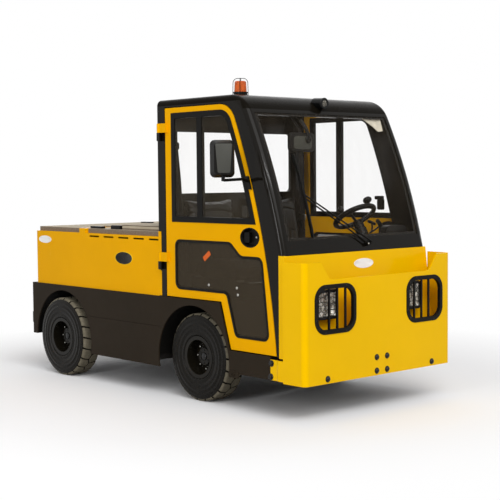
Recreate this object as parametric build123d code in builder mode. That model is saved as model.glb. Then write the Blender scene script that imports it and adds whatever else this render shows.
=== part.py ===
"""Electric tow tractor for airport baggage carts, with a closed two-seat cab.

X points forward, Y to the vehicle's left and Z up, in millimetres. The origin is on the
ground, under the middle of the vehicle's length. Right-hand pieces are drawn first, and
their left-hand twins are mirrored about the middle plane.
"""

import os
from collections import namedtuple
from math import asin, atan2, cos, degrees, hypot, pi, radians, sin, sqrt

from build123d import *

os.makedirs("parts", exist_ok=True)

# Clearances
door_gap = 6
seat_gap = 0.3
shaft_clearance = 0.05

# Wheels and axles
wheelbase = 1520
front_axle_x = 525
rear_axle_x = front_axle_x - wheelbase
tyre_radius = 289
tyre_width = 165
tyre_shoulder = 18
tread_blocks = 22
tread_groove = 9
tread_depth = 13
tread_zigzag = 11
rim_radius = 124
rim_wall = 9
rim_lip = 16
rim_disc = 12
disc_inset = 88
wheel_nuts = 8
nut_circle = 84
rear_wheel_face = 690
front_wheel_face = 628
kingpin_inset = 100
kingpin_radius = 16
front_spindle_radius = 25
rear_spindle_radius = 30
hub_radius = 56
axle_beam_half = 40
yoke_lug = 18
yoke_depth = 56
rear_tube_radius = 58
drum_radius = 104
gear_case_radius = 132
motor_radius = 112
motor_length = 375
motor_rise = 30
motor_ribs = 6

# Steering linkage
steer_arm_length = 150
steer_arm_half = 12
tie_rod_radius = 10
ball_pin_radius = 6
rod_eye_radius = 12

# Black lower body: side plates, sills and wheel arches
skirt_face = 671
skirt_wall = 10
rear_overhang = 416
skirt_front = 1265
skirt_bottom = 195
tail_bottom = 280
nose_bottom = 235
sill_high = 672
sill_low = 376
step_run = 93
arch_radius = 363
arch_height = 270
seam_z = 468
seam_width = 3
liner_wall = 6
liner_width = 200

# Chassis plates
frame_plate = 12
front_rail_half = 256
rear_rail_half = 446
rail_arch_foot = 150
rail_arch_head = 110
front_axle_lift = 60
rear_axle_lift = 75
tray_floor = 8
tray_clearance = 12
battery_width = 1028
battery_headroom = 45
battery_clearance = 15
bumper_beam_half = 520
bumper_beam_wall = 8

# Yellow rear body and deck
body_step = 41
body_face = 658
body_wall = 5
body_top = 1070
vent_slots = 5
slot_pitch = 177
slot_inset = 51
slot_drop = 21
slot_length = 122
slot_height = 11
deck_board = 33
deck_edge = 20
front_deck_length = 871
divider_length = 74
divider_depth = 72
cover_length = 488
cover_height = 66
finger_hold = 80
finger_hold_y = -360
lid_barrel = 10
lid_pin_radius = 4
lid_knuckle = 50
lid_hinge_inset = 120
rear_hinge_y = 400
rear_grip_inset = 78
rear_grip_length = 136
rear_grip_height = 16
front_grip_inset = 65
front_grip_length = 108
front_grip_height = 28

# Cab
cab_face = 657
frame_inner = 575
roof_base = 1938
roof_top = 1980
roof_lip_z = 1885
roof_lip_depth = 34
post_width = 83
door_top = 1922
door_wall = 32
door_foot_x = 1306
door_head_x = 942
door_head_z = 1830
door_bow = 58
seal_land = 18
pillar_front = 1330
pillar_round = 40
screen_foot_x = 1376
screen_head_x = 1064
screen_head_z = 1865
screen_bow = 27
screen_glass_half = 600
scuttle_height = 87
screen_glass_head = 1862
screen_lap = 16
screen_skin = 25
glass_wall = 6
rear_wall_depth = 30
rear_window_half = 560
rear_window_foot = 1345
rear_window_head = 1785
floor_wall = 6

# Door windows
window_strip = 33
window_rear_strip = 63
window_foot = 1173
window_frame = 38
window_frame_depth = 26
mullion_x = 600
mullion_width = 50
lower_window_rear = 93
lower_window_foot = 85
lower_window_step = 58
lower_window_front = 48
lower_window_gap = 113
lower_window_drop = 84
edging_width = 16
edging_proud = 3
handle_x = 1076
handle_z = 1092
handle_length = 176
handle_height = 124

# Hinges
hinge_back = 48
barrel_radius = 14
barrel_stand = 16
hinge_pin_radius = 6
hinge_height = 60
upper_hinge_z = 1763
lower_hinge_z = 908

# Cowl and front plate
cowl_top = 991
cowl_lean = 7
cowl_wall = 4
plate_front = 1570
plate_half = 677
plate_wall = 10
plate_bottom = 226
plate_top = 957
plate_middle_top = 850
plate_return_x = 1385
plate_bend = 35
ear_inner = 540
ear_foot = 462
lamp_window_y = 414
lamp_window_z = 672
lamp_window_width = 360
lamp_window_height = 299
lamp_window_round = 92
lamp_edging = 24
guard_bar_y = 392
guard_bar_pitch = 71
guard_bar = 13
coupling_bolt_y = 48
coupling_bolt_z = 297.5
coupling_bolt_rise = 42.5
coupling_bolt_radius = 6.5
headlamp_width = 190
headlamp_height = 184
headlamp_front = 1484
headlamp_rim = 17

# Tow jaw and its pin
jaw_reach = 159
jaw_level = 405
jaw_rise = 75
jaw_plate = 16
jaw_width = 130
jaw_pin_inset = 55
hitch_pin_radius = 14

# Seats
seat_y = 305
seat_width = 450
seat_level = 800
cushion_height = 110
cushion_length = 440
backrest_height = 530
backrest_wall = 95
seat_back_gap = 103

# Controls and dashboard
wheel_tilt = 32
wheel_x = 1040
wheel_y = 330
wheel_z = 1190
wheel_radius = 150
wheel_rim = 14
wheel_dish = 60
column_length = 226
dash_depth = 67
dash_height = 136
dash_foot = 880
pod_width = 228
pod_height = 244
pedal_x = 1150
pedal_length = 50
pedal_rise = 150

# Mirrors, wiper and lamps
mirror_x = 1112
mirror_y = -900
mirror_z = 1575
mirror_width = 150
mirror_height = 225
mirror_turn = 30
mirror_foot = 1388
mirror_foot_height = 82
inner_mirror_x = 1078
inner_mirror_y = -204
inner_mirror_z = 1680
inner_mirror_width = 190
wiper_y = -398
wiper_blade = 516
wiper_root = 51
beacon_x = 742
beacon_y = -425
beacon_radius = 54
beacon_height = 118
roof_lamp_radius = 37
rear_lamp_width = 80
rear_lamp_height = 210
rear_lamp_y = 600
rear_lamp_z = 505

# Worked out from the sizes above
skirt_rear = rear_axle_x - rear_overhang
body_rear = skirt_rear + body_step
step_foot_x = front_axle_x + arch_radius
step_top_x = step_foot_x - step_run
skirt_inner = skirt_face - skirt_wall
tray_front = front_axle_x - arch_radius - tray_clearance
tray_rear = rear_axle_x + arch_radius + tray_clearance
cab_rear_x = tray_front + 15
door_rear = cab_rear_x + post_width
hinge_x = door_rear - hinge_back
window_rear = door_rear + window_rear_strip
seat_back_x = cab_rear_x + seat_back_gap
divider_front = cab_rear_x - front_deck_length
divider_rear = divider_front - divider_length
cover_rear = cab_rear_x - cover_length
front_lid_x = (divider_front + 6, cab_rear_x - 12)
front_lid_hinges = (
    front_lid_x[0] + lid_hinge_inset,
    (front_lid_x[0] + front_lid_x[1]) / 2,
    front_lid_x[1] - lid_hinge_inset,
)
rear_lid_hinges = (-rear_hinge_y, rear_hinge_y)
screen_glass_foot = cowl_top + scuttle_height
hitch_rear = skirt_rear - jaw_reach
hitch_pin_x = hitch_rear + jaw_pin_inset
hitch_levels = (jaw_level - jaw_rise, jaw_level, jaw_level + jaw_rise)
front_wheel_mid = front_wheel_face - tyre_width / 2
kingpin_y = front_wheel_mid - kingpin_inset
deck_level = body_top + seat_gap
beam_bottom = nose_bottom + 5
beam_top = sill_low - floor_wall
cowl_run = (cowl_top - sill_low) * sin(radians(cowl_lean)) / cos(radians(cowl_lean))
cowl_foot_x = screen_foot_x + cowl_run
lower_window_head = window_foot - lower_window_gap
lower_window_dip = lower_window_head - lower_window_drop
hinge_y = cab_face + barrel_stand
door_inner = cab_face - door_wall
stop_face = door_inner - door_gap

Edge = namedtuple("Edge", "x z radius crown_x crown_z crown_radius lean")


def bowed_edge(foot, head, bow, top):
    """The circle of an edge that bows forward from foot to head, and of its crown.

    The crown leaves the edge at head, in line with it, and ends level at the height top.
    """
    chord = hypot(head[0] - foot[0], head[1] - foot[1])
    radius = chord**2 / (8 * bow) + bow / 2
    normal = ((head[1] - foot[1]) / chord, (foot[0] - head[0]) / chord)
    centre_x = (foot[0] + head[0]) / 2 - normal[0] * (radius - bow)
    centre_z = (foot[1] + head[1]) / 2 - normal[1] * (radius - bow)
    lean = asin((head[1] - centre_z) / radius)
    crown = (top - head[1]) / (1 - sin(lean))
    crown_x = head[0] - crown * cos(lean)
    crown_z = head[1] - crown * sin(lean)
    return Edge(centre_x, centre_z, radius, crown_x, crown_z, crown, lean)


screen_edge = bowed_edge((screen_foot_x, cowl_top), (screen_head_x, screen_head_z), screen_bow, roof_top)
door_edge = bowed_edge((door_foot_x, sill_low), (door_head_x, door_head_z), door_bow, door_top)


def edge_x(edge, z, inset=0):
    """How far forward a bowed edge lies at the height z, when moved back by inset."""
    return edge.x + sqrt((edge.radius - inset) ** 2 - (z - edge.z) ** 2)


def crown_point(edge, angle, inset=0):
    """The point of an edge's crown at an angle above the horizontal."""
    radius = edge.crown_radius - inset
    return (edge.crown_x + radius * cos(angle), edge.crown_z + radius * sin(angle))


def draw_edge(edge, low, high, inset=0):
    """The stretch of a bowed edge between two heights, from the lower one."""
    middle = (low + high) / 2
    points = [(edge_x(edge, z, inset), z) for z in (low, middle, high)]
    ThreePointArc(*points)
    return points[0], points[-1]


def draw_crown(edge, start, inset=0):
    """The crown of a bowed edge, from the angle start up to level."""
    middle = (start + pi / 2) / 2
    points = [crown_point(edge, angle, inset) for angle in (start, middle, pi / 2)]
    ThreePointArc(*points)
    return points[0], points[-1]


def draw_side_outline(edge, rear, bottom, inset=0):
    """A side panel's outline: straight back and bottom, bowed front and rounded crown."""
    head_z = crown_point(edge, edge.lean, inset)[1]
    foot = draw_edge(edge, bottom, head_z, inset)[0]
    crown_top = draw_crown(edge, edge.lean, inset)[1]
    Polyline(crown_top, (rear, crown_top[1]), (rear, bottom), foot)


def draw_plan(near, far, half, radius):
    """A plan that is square at one end and rounded at its two far corners."""
    plan = FilletPolyline((near, -half), (far, -half), (far, half), (near, half), radius=radius)
    Line(plan @ 0, plan @ 1)


def draw_edge_band(edge, low, high, outer, inner):
    """A curved strip that follows a bowed edge, between two insets and two heights."""
    outer_foot, outer_head = draw_edge(edge, low, high, outer)
    inner_foot, inner_head = draw_edge(edge, low, high, inner)
    Line(outer_foot, inner_foot)
    Line(outer_head, inner_head)


def block(x, y, z, mode=Mode.ADD):
    """A box between a low and a high value of each of x, y and z."""
    with Locations((sum(x) / 2, sum(y) / 2, sum(z) / 2)):
        Box(x[1] - x[0], y[1] - y[0], z[1] - z[0], mode=mode)


def tube(start, end, radius, mode=Mode.ADD):
    """A round bar between two points."""
    way = Vector(*end) - Vector(*start)
    with Locations(Plane(origin=start, z_dir=way)):
        Cylinder(radius, way.length, align=(Align.CENTER, Align.CENTER, Align.MIN), mode=mode)


def finish(piece, label):
    """Name a piece and write it as its own file."""
    piece.part.label = label
    export_step(piece.part, f"parts/{label}.step")
    return piece


def twin(piece, label):
    """The left-hand twin of a right-hand piece."""
    with BuildPart() as left:
        mirror(piece.part, about=Plane.XZ)
    return finish(left, label)


def make_skirts():
    """Black side plates with open wheel arches, and the ledge that the body stands on."""
    with BuildPart() as skirts:
        with BuildSketch(Plane.XZ.offset(skirt_inner)):
            with BuildLine():
                Polyline(
                    (skirt_rear, tail_bottom),
                    (skirt_rear, sill_high),
                    (step_top_x, sill_high),
                    (step_foot_x, sill_low),
                    (skirt_front, sill_low),
                    (skirt_front, nose_bottom),
                    (front_axle_x, nose_bottom),
                    (front_axle_x, skirt_bottom),
                    (rear_axle_x, skirt_bottom),
                    (rear_axle_x, tail_bottom),
                    close=True,
                )
            make_face()
            with Locations((rear_axle_x, arch_height), (front_axle_x, arch_height)):
                Circle(arch_radius, mode=Mode.SUBTRACT)
        extrude(amount=skirt_wall)
        block(
            (rear_axle_x, front_axle_x),
            (-skirt_face - seam_width, seam_width - skirt_face),
            (seam_z - seam_width / 2, seam_z + seam_width / 2),
            mode=Mode.SUBTRACT,
        )
        ledge_x = (skirt_rear + frame_plate, step_top_x - 10)
        block(ledge_x, (-skirt_inner, 40 - skirt_inner), (sill_high - floor_wall, sill_high))
        mirror(about=Plane.XZ)
    return finish(skirts, "skirts")


def make_arch_liners():
    """Curved mudguards inside the four arches, flush with the arch edges."""
    with BuildPart() as liners:
        for axle_x in (rear_axle_x, front_axle_x):
            with BuildSketch(Plane.XZ.offset(skirt_inner - liner_width)):
                with Locations((axle_x, arch_height)):
                    Circle(arch_radius + liner_wall)
                    Circle(arch_radius, mode=Mode.SUBTRACT)
                with Locations((axle_x, tail_bottom)):
                    Rectangle(
                        3 * arch_radius,
                        2 * arch_radius,
                        align=(Align.CENTER, Align.MAX),
                        mode=Mode.SUBTRACT,
                    )
            extrude(amount=liner_width)
        mirror(about=Plane.XZ)
    return finish(liners, "arch_liners")


def draw_front_rail(top):
    """A front rail, arched over the steered axle and stepped down under the foot well."""
    FilletPolyline(
        (tray_front, nose_bottom),
        (front_axle_x - rail_arch_foot, nose_bottom),
        (front_axle_x - rail_arch_head, tyre_radius + front_axle_lift),
        (front_axle_x + rail_arch_head, tyre_radius + front_axle_lift),
        (front_axle_x + rail_arch_foot, beam_bottom),
        (plate_return_x + frame_plate, beam_bottom),
        (plate_return_x + frame_plate, beam_top),
        (step_foot_x + 6, beam_top),
        (step_top_x + 6, top),
        (tray_front, top),
        radius=8,
        close=True,
    )


def draw_rear_rail(top, tail):
    """A rear rail beside the drive unit, arched over the drive axle."""
    FilletPolyline(
        (tray_rear, nose_bottom + 40),
        (tray_rear, top),
        (tail, top),
        (tail, tail_bottom + 60),
        (rear_axle_x - rail_arch_foot, tail_bottom + 60),
        (rear_axle_x - rail_arch_head, tyre_radius + rear_axle_lift),
        (rear_axle_x + rail_arch_head, tyre_radius + rear_axle_lift),
        (rear_axle_x + rail_arch_foot, nose_bottom + 40),
        radius=8,
        close=True,
    )


def make_chassis():
    """Welded steel frame: battery tray, bulkheads, rails and tail plate."""
    rail_top = sill_high - floor_wall - seat_gap
    tail_front = skirt_rear + frame_plate
    with BuildPart() as chassis:
        tray_top = nose_bottom + tray_floor
        block((tray_rear, tray_front), (-skirt_inner, skirt_inner), (nose_bottom, tray_top))
        for wall_x in (tray_rear, tray_front - frame_plate):
            block(
                (wall_x, wall_x + frame_plate),
                (-skirt_inner, skirt_inner),
                (nose_bottom, rail_top),
            )
        block((skirt_rear, tail_front), (-skirt_inner, skirt_inner), (tail_bottom, sill_high))

        with BuildSketch(Plane.XZ.offset(front_rail_half - frame_plate)):
            with BuildLine():
                draw_front_rail(rail_top)
            make_face()
        extrude(amount=frame_plate)
        mirror(about=Plane.XZ)
        # Square ends, where the bumper beam is welded on
        with Locations((plate_return_x + frame_plate, 0, (beam_bottom + beam_top) / 2)):
            Box(2 * frame_plate, 2 * front_rail_half, beam_top - beam_bottom, mode=Mode.SUBTRACT)

        with BuildSketch(Plane.XZ.offset(rear_rail_half - frame_plate)):
            with BuildLine():
                draw_rear_rail(rail_top, tail_front)
            make_face()
        extrude(amount=frame_plate)
        mirror(about=Plane.XZ)

        # Outriggers that tie the front rails to the sills under the foot well
        for rib_x in (step_foot_x + 60, skirt_front - 60):
            block((rib_x, rib_x + frame_plate), (-skirt_inner, skirt_inner), (beam_bottom + 30, beam_top))
    return finish(chassis, "chassis_frame")


def make_bumper_beam():
    """Steel channel behind the front plate, open at its back, on the ends of the front rails."""
    middle_z = (beam_bottom + beam_top) / 2
    web_front = plate_front - plate_wall
    with BuildPart() as beam:
        with BuildSketch(Plane.XZ.offset(-bumper_beam_half)):
            with Locations((web_front, middle_z)):
                Rectangle(
                    web_front - plate_return_x,
                    beam_top - beam_bottom,
                    align=(Align.MAX, Align.CENTER),
                )
            with Locations((web_front - bumper_beam_wall, middle_z)):
                Rectangle(
                    plate_front,
                    beam_top - beam_bottom - 2 * bumper_beam_wall,
                    align=(Align.MAX, Align.CENTER),
                    mode=Mode.SUBTRACT,
                )
        extrude(amount=2 * bumper_beam_half)
    return finish(beam, "bumper_beam")


def make_battery():
    """Traction battery, one block in the tray between the wheel arches."""
    rim = frame_plate + battery_clearance
    with BuildPart() as battery:
        block(
            (tray_rear + rim, tray_front - rim),
            (-battery_width / 2, battery_width / 2),
            (nose_bottom + tray_floor, body_top - battery_headroom),
        )
        chamfer(battery.edges().filter_by(Axis.Z), 6)
    return finish(battery, "battery")


def add_lid_pins():
    """Add the hinge pins of the two lids, each between a pair of ears."""
    hinge_z = body_top + deck_board
    for hinge_y in rear_lid_hinges:
        tube(
            (divider_rear - lid_barrel, hinge_y - lid_knuckle / 2 - 8, hinge_z),
            (divider_rear - lid_barrel, hinge_y + lid_knuckle / 2 + 8, hinge_z),
            lid_pin_radius,
        )
        for side in (-1, 1):
            middle = hinge_y + side * (lid_knuckle / 2 + 5)
            block(
                (divider_rear - lid_barrel - 4, divider_rear + 2),
                (middle - 4, middle + 4),
                (hinge_z - 8, hinge_z + 6),
            )
    hinge_y = body_face - deck_edge - body_wall - 4
    for hinge_x in front_lid_hinges:
        tube(
            (hinge_x - lid_knuckle / 2 - 8, hinge_y, hinge_z),
            (hinge_x + lid_knuckle / 2 + 8, hinge_y, hinge_z),
            lid_pin_radius,
        )
        for side in (-1, 1):
            middle = hinge_x + side * (lid_knuckle / 2 + 5)
            block(
                (middle - 4, middle + 4),
                (hinge_y - 6, hinge_y + 6),
                (body_top - 1, hinge_z + 6),
            )


def make_rear_body():
    """Yellow sheet body with vent slots, a rim under the boards and a divider across it."""
    length = cab_rear_x - body_rear
    middle_x = (cab_rear_x + body_rear) / 2
    board_rest = 45
    with BuildPart() as body:
        with BuildSketch(Plane.XY.offset(sill_high)):
            with BuildLine():
                draw_plan(cab_rear_x, body_rear, body_face, 18)
            make_face()
            with BuildLine():
                draw_plan(cab_rear_x - body_wall, body_rear + body_wall, body_face - body_wall, 13)
            make_face(mode=Mode.SUBTRACT)
        extrude(amount=body_top - sill_high)
        with BuildSketch(Plane.XY.offset(body_top - body_wall)):
            with Locations((middle_x, 0)):
                Rectangle(length - 2 * body_wall, 2 * (body_face - body_wall))
                Rectangle(
                    length - 2 * board_rest,
                    2 * (body_face - board_rest),
                    mode=Mode.SUBTRACT,
                )
        extrude(amount=body_wall)
        # Divider, a folded hat section that stands level with the boards
        inner = body_face - body_wall
        with BuildSketch(Plane.YZ.offset(divider_rear)):
            with Locations((0, body_top + deck_board)):
                Rectangle(2 * body_face, divider_depth, align=(Align.CENTER, Align.MAX))
        extrude(amount=divider_front - divider_rear)
        block(
            (divider_rear + body_wall, divider_front - body_wall),
            (-inner, inner),
            (sill_high, body_top + deck_board - body_wall),
            mode=Mode.SUBTRACT,
        )
        # A row of vent slots high on each side, over the battery
        row_middle = cab_rear_x - slot_inset - (vent_slots - 1) * slot_pitch / 2
        for side_y in (body_face - 2 * body_wall, -body_face - body_wall):
            with BuildSketch(Plane.XZ.offset(side_y)):
                with Locations((row_middle, body_top - slot_drop)):
                    with GridLocations(slot_pitch, slot_pitch, vent_slots, 1):
                        SlotOverall(slot_length, slot_height)
            extrude(amount=3 * body_wall, mode=Mode.SUBTRACT)
        add_lid_pins()
    return finish(body, "rear_body")


def make_deck():
    """Plywood deck: the rear lid, the front lid with its raised cover, and black grips."""
    board_z = (deck_level, body_top + deck_board)
    half = body_face - deck_edge - body_wall
    hinge_z = body_top + deck_board
    with BuildPart() as rear_lid:
        front_edge = divider_rear - 2 * lid_barrel
        block((body_rear + deck_edge, front_edge), (-half, half), board_z)
        chamfer(rear_lid.edges().group_by(Axis.Z)[-1], 2)
        with Locations((body_rear + deck_edge, finger_hold_y, board_z[1])):
            Box(24, finger_hold, 14, mode=Mode.SUBTRACT)
        for hinge_y in rear_lid_hinges:
            centre = (divider_rear - lid_barrel, hinge_y, hinge_z)
            add_lid_hinge(centre, (0, 1, 0), (-1, 0, 0))
    finish(rear_lid, "rear_lid")

    with BuildPart() as front_lid:
        left_edge = half - lid_barrel - 3
        block(front_lid_x, (-half, left_edge), board_z)
        chamfer(front_lid.edges().group_by(Axis.Z)[-1], 2)
        block(
            (cover_rear, front_lid_x[1]),
            (30 - half, left_edge - 24),
            (board_z[1], body_top + cover_height),
        )
        chamfer(front_lid.edges().group_by(Axis.Z)[-1], 3)
        with Locations((cover_rear, finger_hold_y, body_top + cover_height)):
            Box(24, finger_hold, 14, mode=Mode.SUBTRACT)
        for hinge_x in front_lid_hinges:
            add_lid_hinge((hinge_x, half - 4, hinge_z), (1, 0, 0), (0, -1, 0))
    finish(front_lid, "front_lid")

    # Each grip's middle, its length and its height
    lid_grips = (
        (divider_front + rear_grip_inset, rear_grip_length, rear_grip_height),
        (cover_rear - front_grip_inset, front_grip_length, front_grip_height),
    )
    with BuildPart() as grips:
        for grip_x, length, height in lid_grips:
            block(
                (grip_x - length / 2, grip_x + length / 2),
                (15 - half, 50 - half),
                (board_z[1] + seat_gap, board_z[1] + height),
            )
        chamfer(grips.edges().group_by(Axis.Z)[-1], 5)
    finish(grips, "lid_grips")


def add_lid_hinge(centre, along, toward_lid):
    """Add a lid's half of a hinge: a bored barrel with a strap that lies over the board."""
    middle = Vector(*centre)
    axle = Vector(*along) * lid_knuckle / 2
    strap = Vector(*toward_lid) * 60
    tube(tuple(middle - axle), tuple(middle + axle), lid_barrel - 1)
    corner_a = middle - axle
    corner_b = middle + axle + strap
    block(
        tuple(sorted((corner_a.X, corner_b.X))),
        tuple(sorted((corner_a.Y, corner_b.Y))),
        (middle.Z, middle.Z + 4),
    )
    reach = axle * 1.2
    tube(
        tuple(middle - reach),
        tuple(middle + reach),
        lid_pin_radius + shaft_clearance,
        mode=Mode.SUBTRACT,
    )


def draw_plate_dip():
    """What is cut from the plate's top between its two raised ears."""
    dip = FilletPolyline(
        (-ear_inner, plate_top + 60),
        (-ear_inner, plate_top),
        (-ear_foot, plate_middle_top),
        (ear_foot, plate_middle_top),
        (ear_inner, plate_top),
        (ear_inner, plate_top + 60),
        radius=50,
    )
    Line(dip @ 0, dip @ 1)


def draw_plate_tab():
    """The plan of a lower tab that reaches back to the sill, stepped in by a joggle."""
    face = -skirt_face
    tab_end = skirt_front + 3
    Polyline(
        (plate_return_x + 20, -plate_half),
        (plate_return_x - 45, -plate_half),
        (plate_return_x - 60, face),
        (tab_end, face),
        (tab_end, face + plate_wall),
        (plate_return_x - 57, face + plate_wall),
        (plate_return_x - 42, -plate_half + plate_wall),
        (plate_return_x + 20, -plate_half + plate_wall),
        close=True,
    )


def make_front_plate():
    """Thick bent bumper plate with two raised ears, lamp windows and bolt holes."""
    with BuildPart() as plate:
        with BuildSketch(Plane.XY.offset(plate_bottom)):
            with BuildLine():
                draw_plan(plate_return_x, plate_front, plate_half, plate_bend)
            make_face()
            with BuildLine():
                draw_plan(
                    plate_return_x - plate_wall,
                    plate_front - plate_wall,
                    plate_half - plate_wall,
                    plate_bend - plate_wall,
                )
            make_face(mode=Mode.SUBTRACT)
        extrude(amount=plate_top - plate_bottom)
        # Dip between the ears
        with BuildSketch(Plane.YZ.offset(plate_front - plate_bend - plate_wall)):
            with BuildLine():
                draw_plate_dip()
            make_face()
        extrude(amount=2 * plate_bend + plate_wall, mode=Mode.SUBTRACT)
        # Lamp windows, and the holes for a front coupling and for the lower bolts
        with BuildSketch(Plane.YZ.offset(plate_front - 2 * plate_wall)):
            with Locations((-lamp_window_y, lamp_window_z), (lamp_window_y, lamp_window_z)):
                RectangleRounded(
                    lamp_window_width - lamp_edging,
                    lamp_window_height - lamp_edging,
                    lamp_window_round - lamp_edging / 2,
                )
            with Locations((0, coupling_bolt_z)):
                with GridLocations(2 * coupling_bolt_y, 2 * coupling_bolt_rise, 2, 2):
                    Circle(coupling_bolt_radius)
        extrude(amount=3 * plate_wall, mode=Mode.SUBTRACT)
        # Lower tabs that reach back to the sills, stepped in by a joggle
        with BuildSketch(Plane.XY.offset(nose_bottom)):
            with BuildLine():
                draw_plate_tab()
            make_face()
            mirror(about=Plane.XZ)
        extrude(amount=sill_low - 16 - nose_bottom)
    return finish(plate, "front_plate")


def make_lamp_guards():
    """Rubber-edged guards in the lamp windows, each with three upright bars."""
    neck_width = lamp_window_width - lamp_edging - 2 * seat_gap
    neck_height = lamp_window_height - lamp_edging - 2 * seat_gap
    neck_round = lamp_window_round - lamp_edging / 2
    clear_width = lamp_window_width - 2 * lamp_edging - 6
    clear_height = lamp_window_height - 2 * lamp_edging - 6
    clear_round = lamp_window_round - lamp_edging
    centre = (-lamp_window_y, lamp_window_z)
    with BuildPart() as guards:
        with BuildSketch(Plane.YZ.offset(plate_front)):
            with Locations(centre):
                RectangleRounded(lamp_window_width, lamp_window_height, lamp_window_round)
        extrude(amount=5)
        chamfer(guards.faces().sort_by(Axis.X)[-1].edges(), 2)
        with BuildSketch(Plane.YZ.offset(plate_front)):
            with Locations(centre):
                RectangleRounded(neck_width, neck_height, neck_round)
        extrude(amount=-plate_wall - 8)
        with BuildSketch(Plane.YZ.offset(plate_front - 3 * plate_wall)):
            with Locations(centre):
                RectangleRounded(clear_width, clear_height, clear_round)
        extrude(amount=5 * plate_wall, mode=Mode.SUBTRACT)
        for step in (-1, 0, 1):
            bar_y = -guard_bar_y + step * guard_bar_pitch
            block(
                (plate_front - plate_wall - 4, plate_front - plate_wall + 6),
                (bar_y - guard_bar / 2, bar_y + guard_bar / 2),
                (lamp_window_z - clear_height / 2 - 3, lamp_window_z + clear_height / 2 + 3),
            )
        mirror(about=Plane.XZ)
    return finish(guards, "lamp_guards")


def make_cowl():
    """Yellow front panel of the cab, bent back at its sides and rolled at its top."""
    with BuildPart() as cowl:
        with BuildSketch(Plane.XZ):
            with BuildLine():
                Polyline(
                    (pillar_front + seat_gap, sill_low - floor_wall),
                    (pillar_front + seat_gap, cowl_top),
                    (screen_foot_x, cowl_top),
                    (cowl_foot_x, sill_low - floor_wall),
                    close=True,
                )
            make_face()
        extrude(amount=cab_face, both=True)
        front_edges = cowl.edges().filter_by(Axis.Y).sort_by(Axis.Z)[-2:].sort_by(Axis.X)[-1:]
        fillet(front_edges, 9)
        offset(
            amount=-cowl_wall,
            openings=[
                cowl.faces().filter_by(Axis.X).sort_by(Axis.X)[0],
                cowl.faces().filter_by(Axis.Z).sort_by(Axis.Z)[0],
            ],
        )
    return finish(cowl, "cowl")


def make_headlamps():
    """Rectangular lamp bodies on the cowl, behind the guards, and their clear lenses."""
    centre = (-guard_bar_y, lamp_window_z + 16)
    with BuildPart() as lamps:
        with BuildSketch(Plane.YZ.offset(screen_foot_x)):
            with Locations(centre):
                RectangleRounded(headlamp_width, headlamp_height, 26)
        extrude(amount=headlamp_front - screen_foot_x)
        fillet(lamps.faces().sort_by(Axis.X)[-1].edges(), 5)
        with BuildSketch(Plane.XZ):
            with BuildLine():
                Polyline(
                    (pillar_front, sill_low - floor_wall),
                    (pillar_front, cowl_top),
                    (screen_foot_x + seat_gap, cowl_top),
                    (cowl_foot_x + seat_gap, sill_low - floor_wall),
                    close=True,
                )
            make_face()
        extrude(amount=cab_face, both=True, mode=Mode.SUBTRACT)
        with BuildSketch(Plane.YZ.offset(headlamp_front)):
            with Locations(centre):
                RectangleRounded(headlamp_width - 2 * headlamp_rim, headlamp_height - 2 * headlamp_rim, 14)
        extrude(amount=-24, mode=Mode.SUBTRACT)
        mirror(about=Plane.XZ)
    finish(lamps, "headlamps")

    inset = 2 * (headlamp_rim + seat_gap)
    with BuildPart() as lenses:
        with BuildSketch(Plane.YZ.offset(headlamp_front - 8)):
            with Locations(centre):
                RectangleRounded(headlamp_width - inset, headlamp_height - inset, 14 - seat_gap)
        extrude(amount=5)
        mirror(about=Plane.XZ)
    finish(lenses, "headlamp_lenses")


def lip_angle():
    """Where on the windscreen's crown the roof cap ends, as an angle above level."""
    return asin((roof_lip_z - screen_edge.crown_z) / screen_edge.crown_radius)


def make_cab_form():
    """The outer form of the cab above its scuttle, which frame and roof are cut from."""
    with BuildPart() as form:
        with BuildSketch(Plane.XZ):
            with BuildLine():
                draw_side_outline(screen_edge, cab_rear_x, cowl_top)
            make_face()
        extrude(amount=cab_face, both=True)
        roof_edges = form.edges().group_by(Axis.Z)[-1].filter_by(Axis.X)
        fillet(form.edges().filter_by(GeomType.CIRCLE) + roof_edges, pillar_round)
    return form


def draw_roof_region(lift=0):
    """What the roof cap takes of the cab's form: its flat and its lip at the front."""
    lip_x = crown_point(screen_edge, lip_angle())[0]
    Polyline(
        (cab_rear_x - 50, roof_base + lift),
        (lip_x - 2 * roof_lip_depth, roof_base + lift),
        (lip_x - roof_lip_depth, roof_lip_z + lift),
        (lip_x + 100, roof_lip_z + lift),
        (lip_x + 100, roof_top + 50),
        (cab_rear_x - 50, roof_top + 50),
        close=True,
    )


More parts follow.
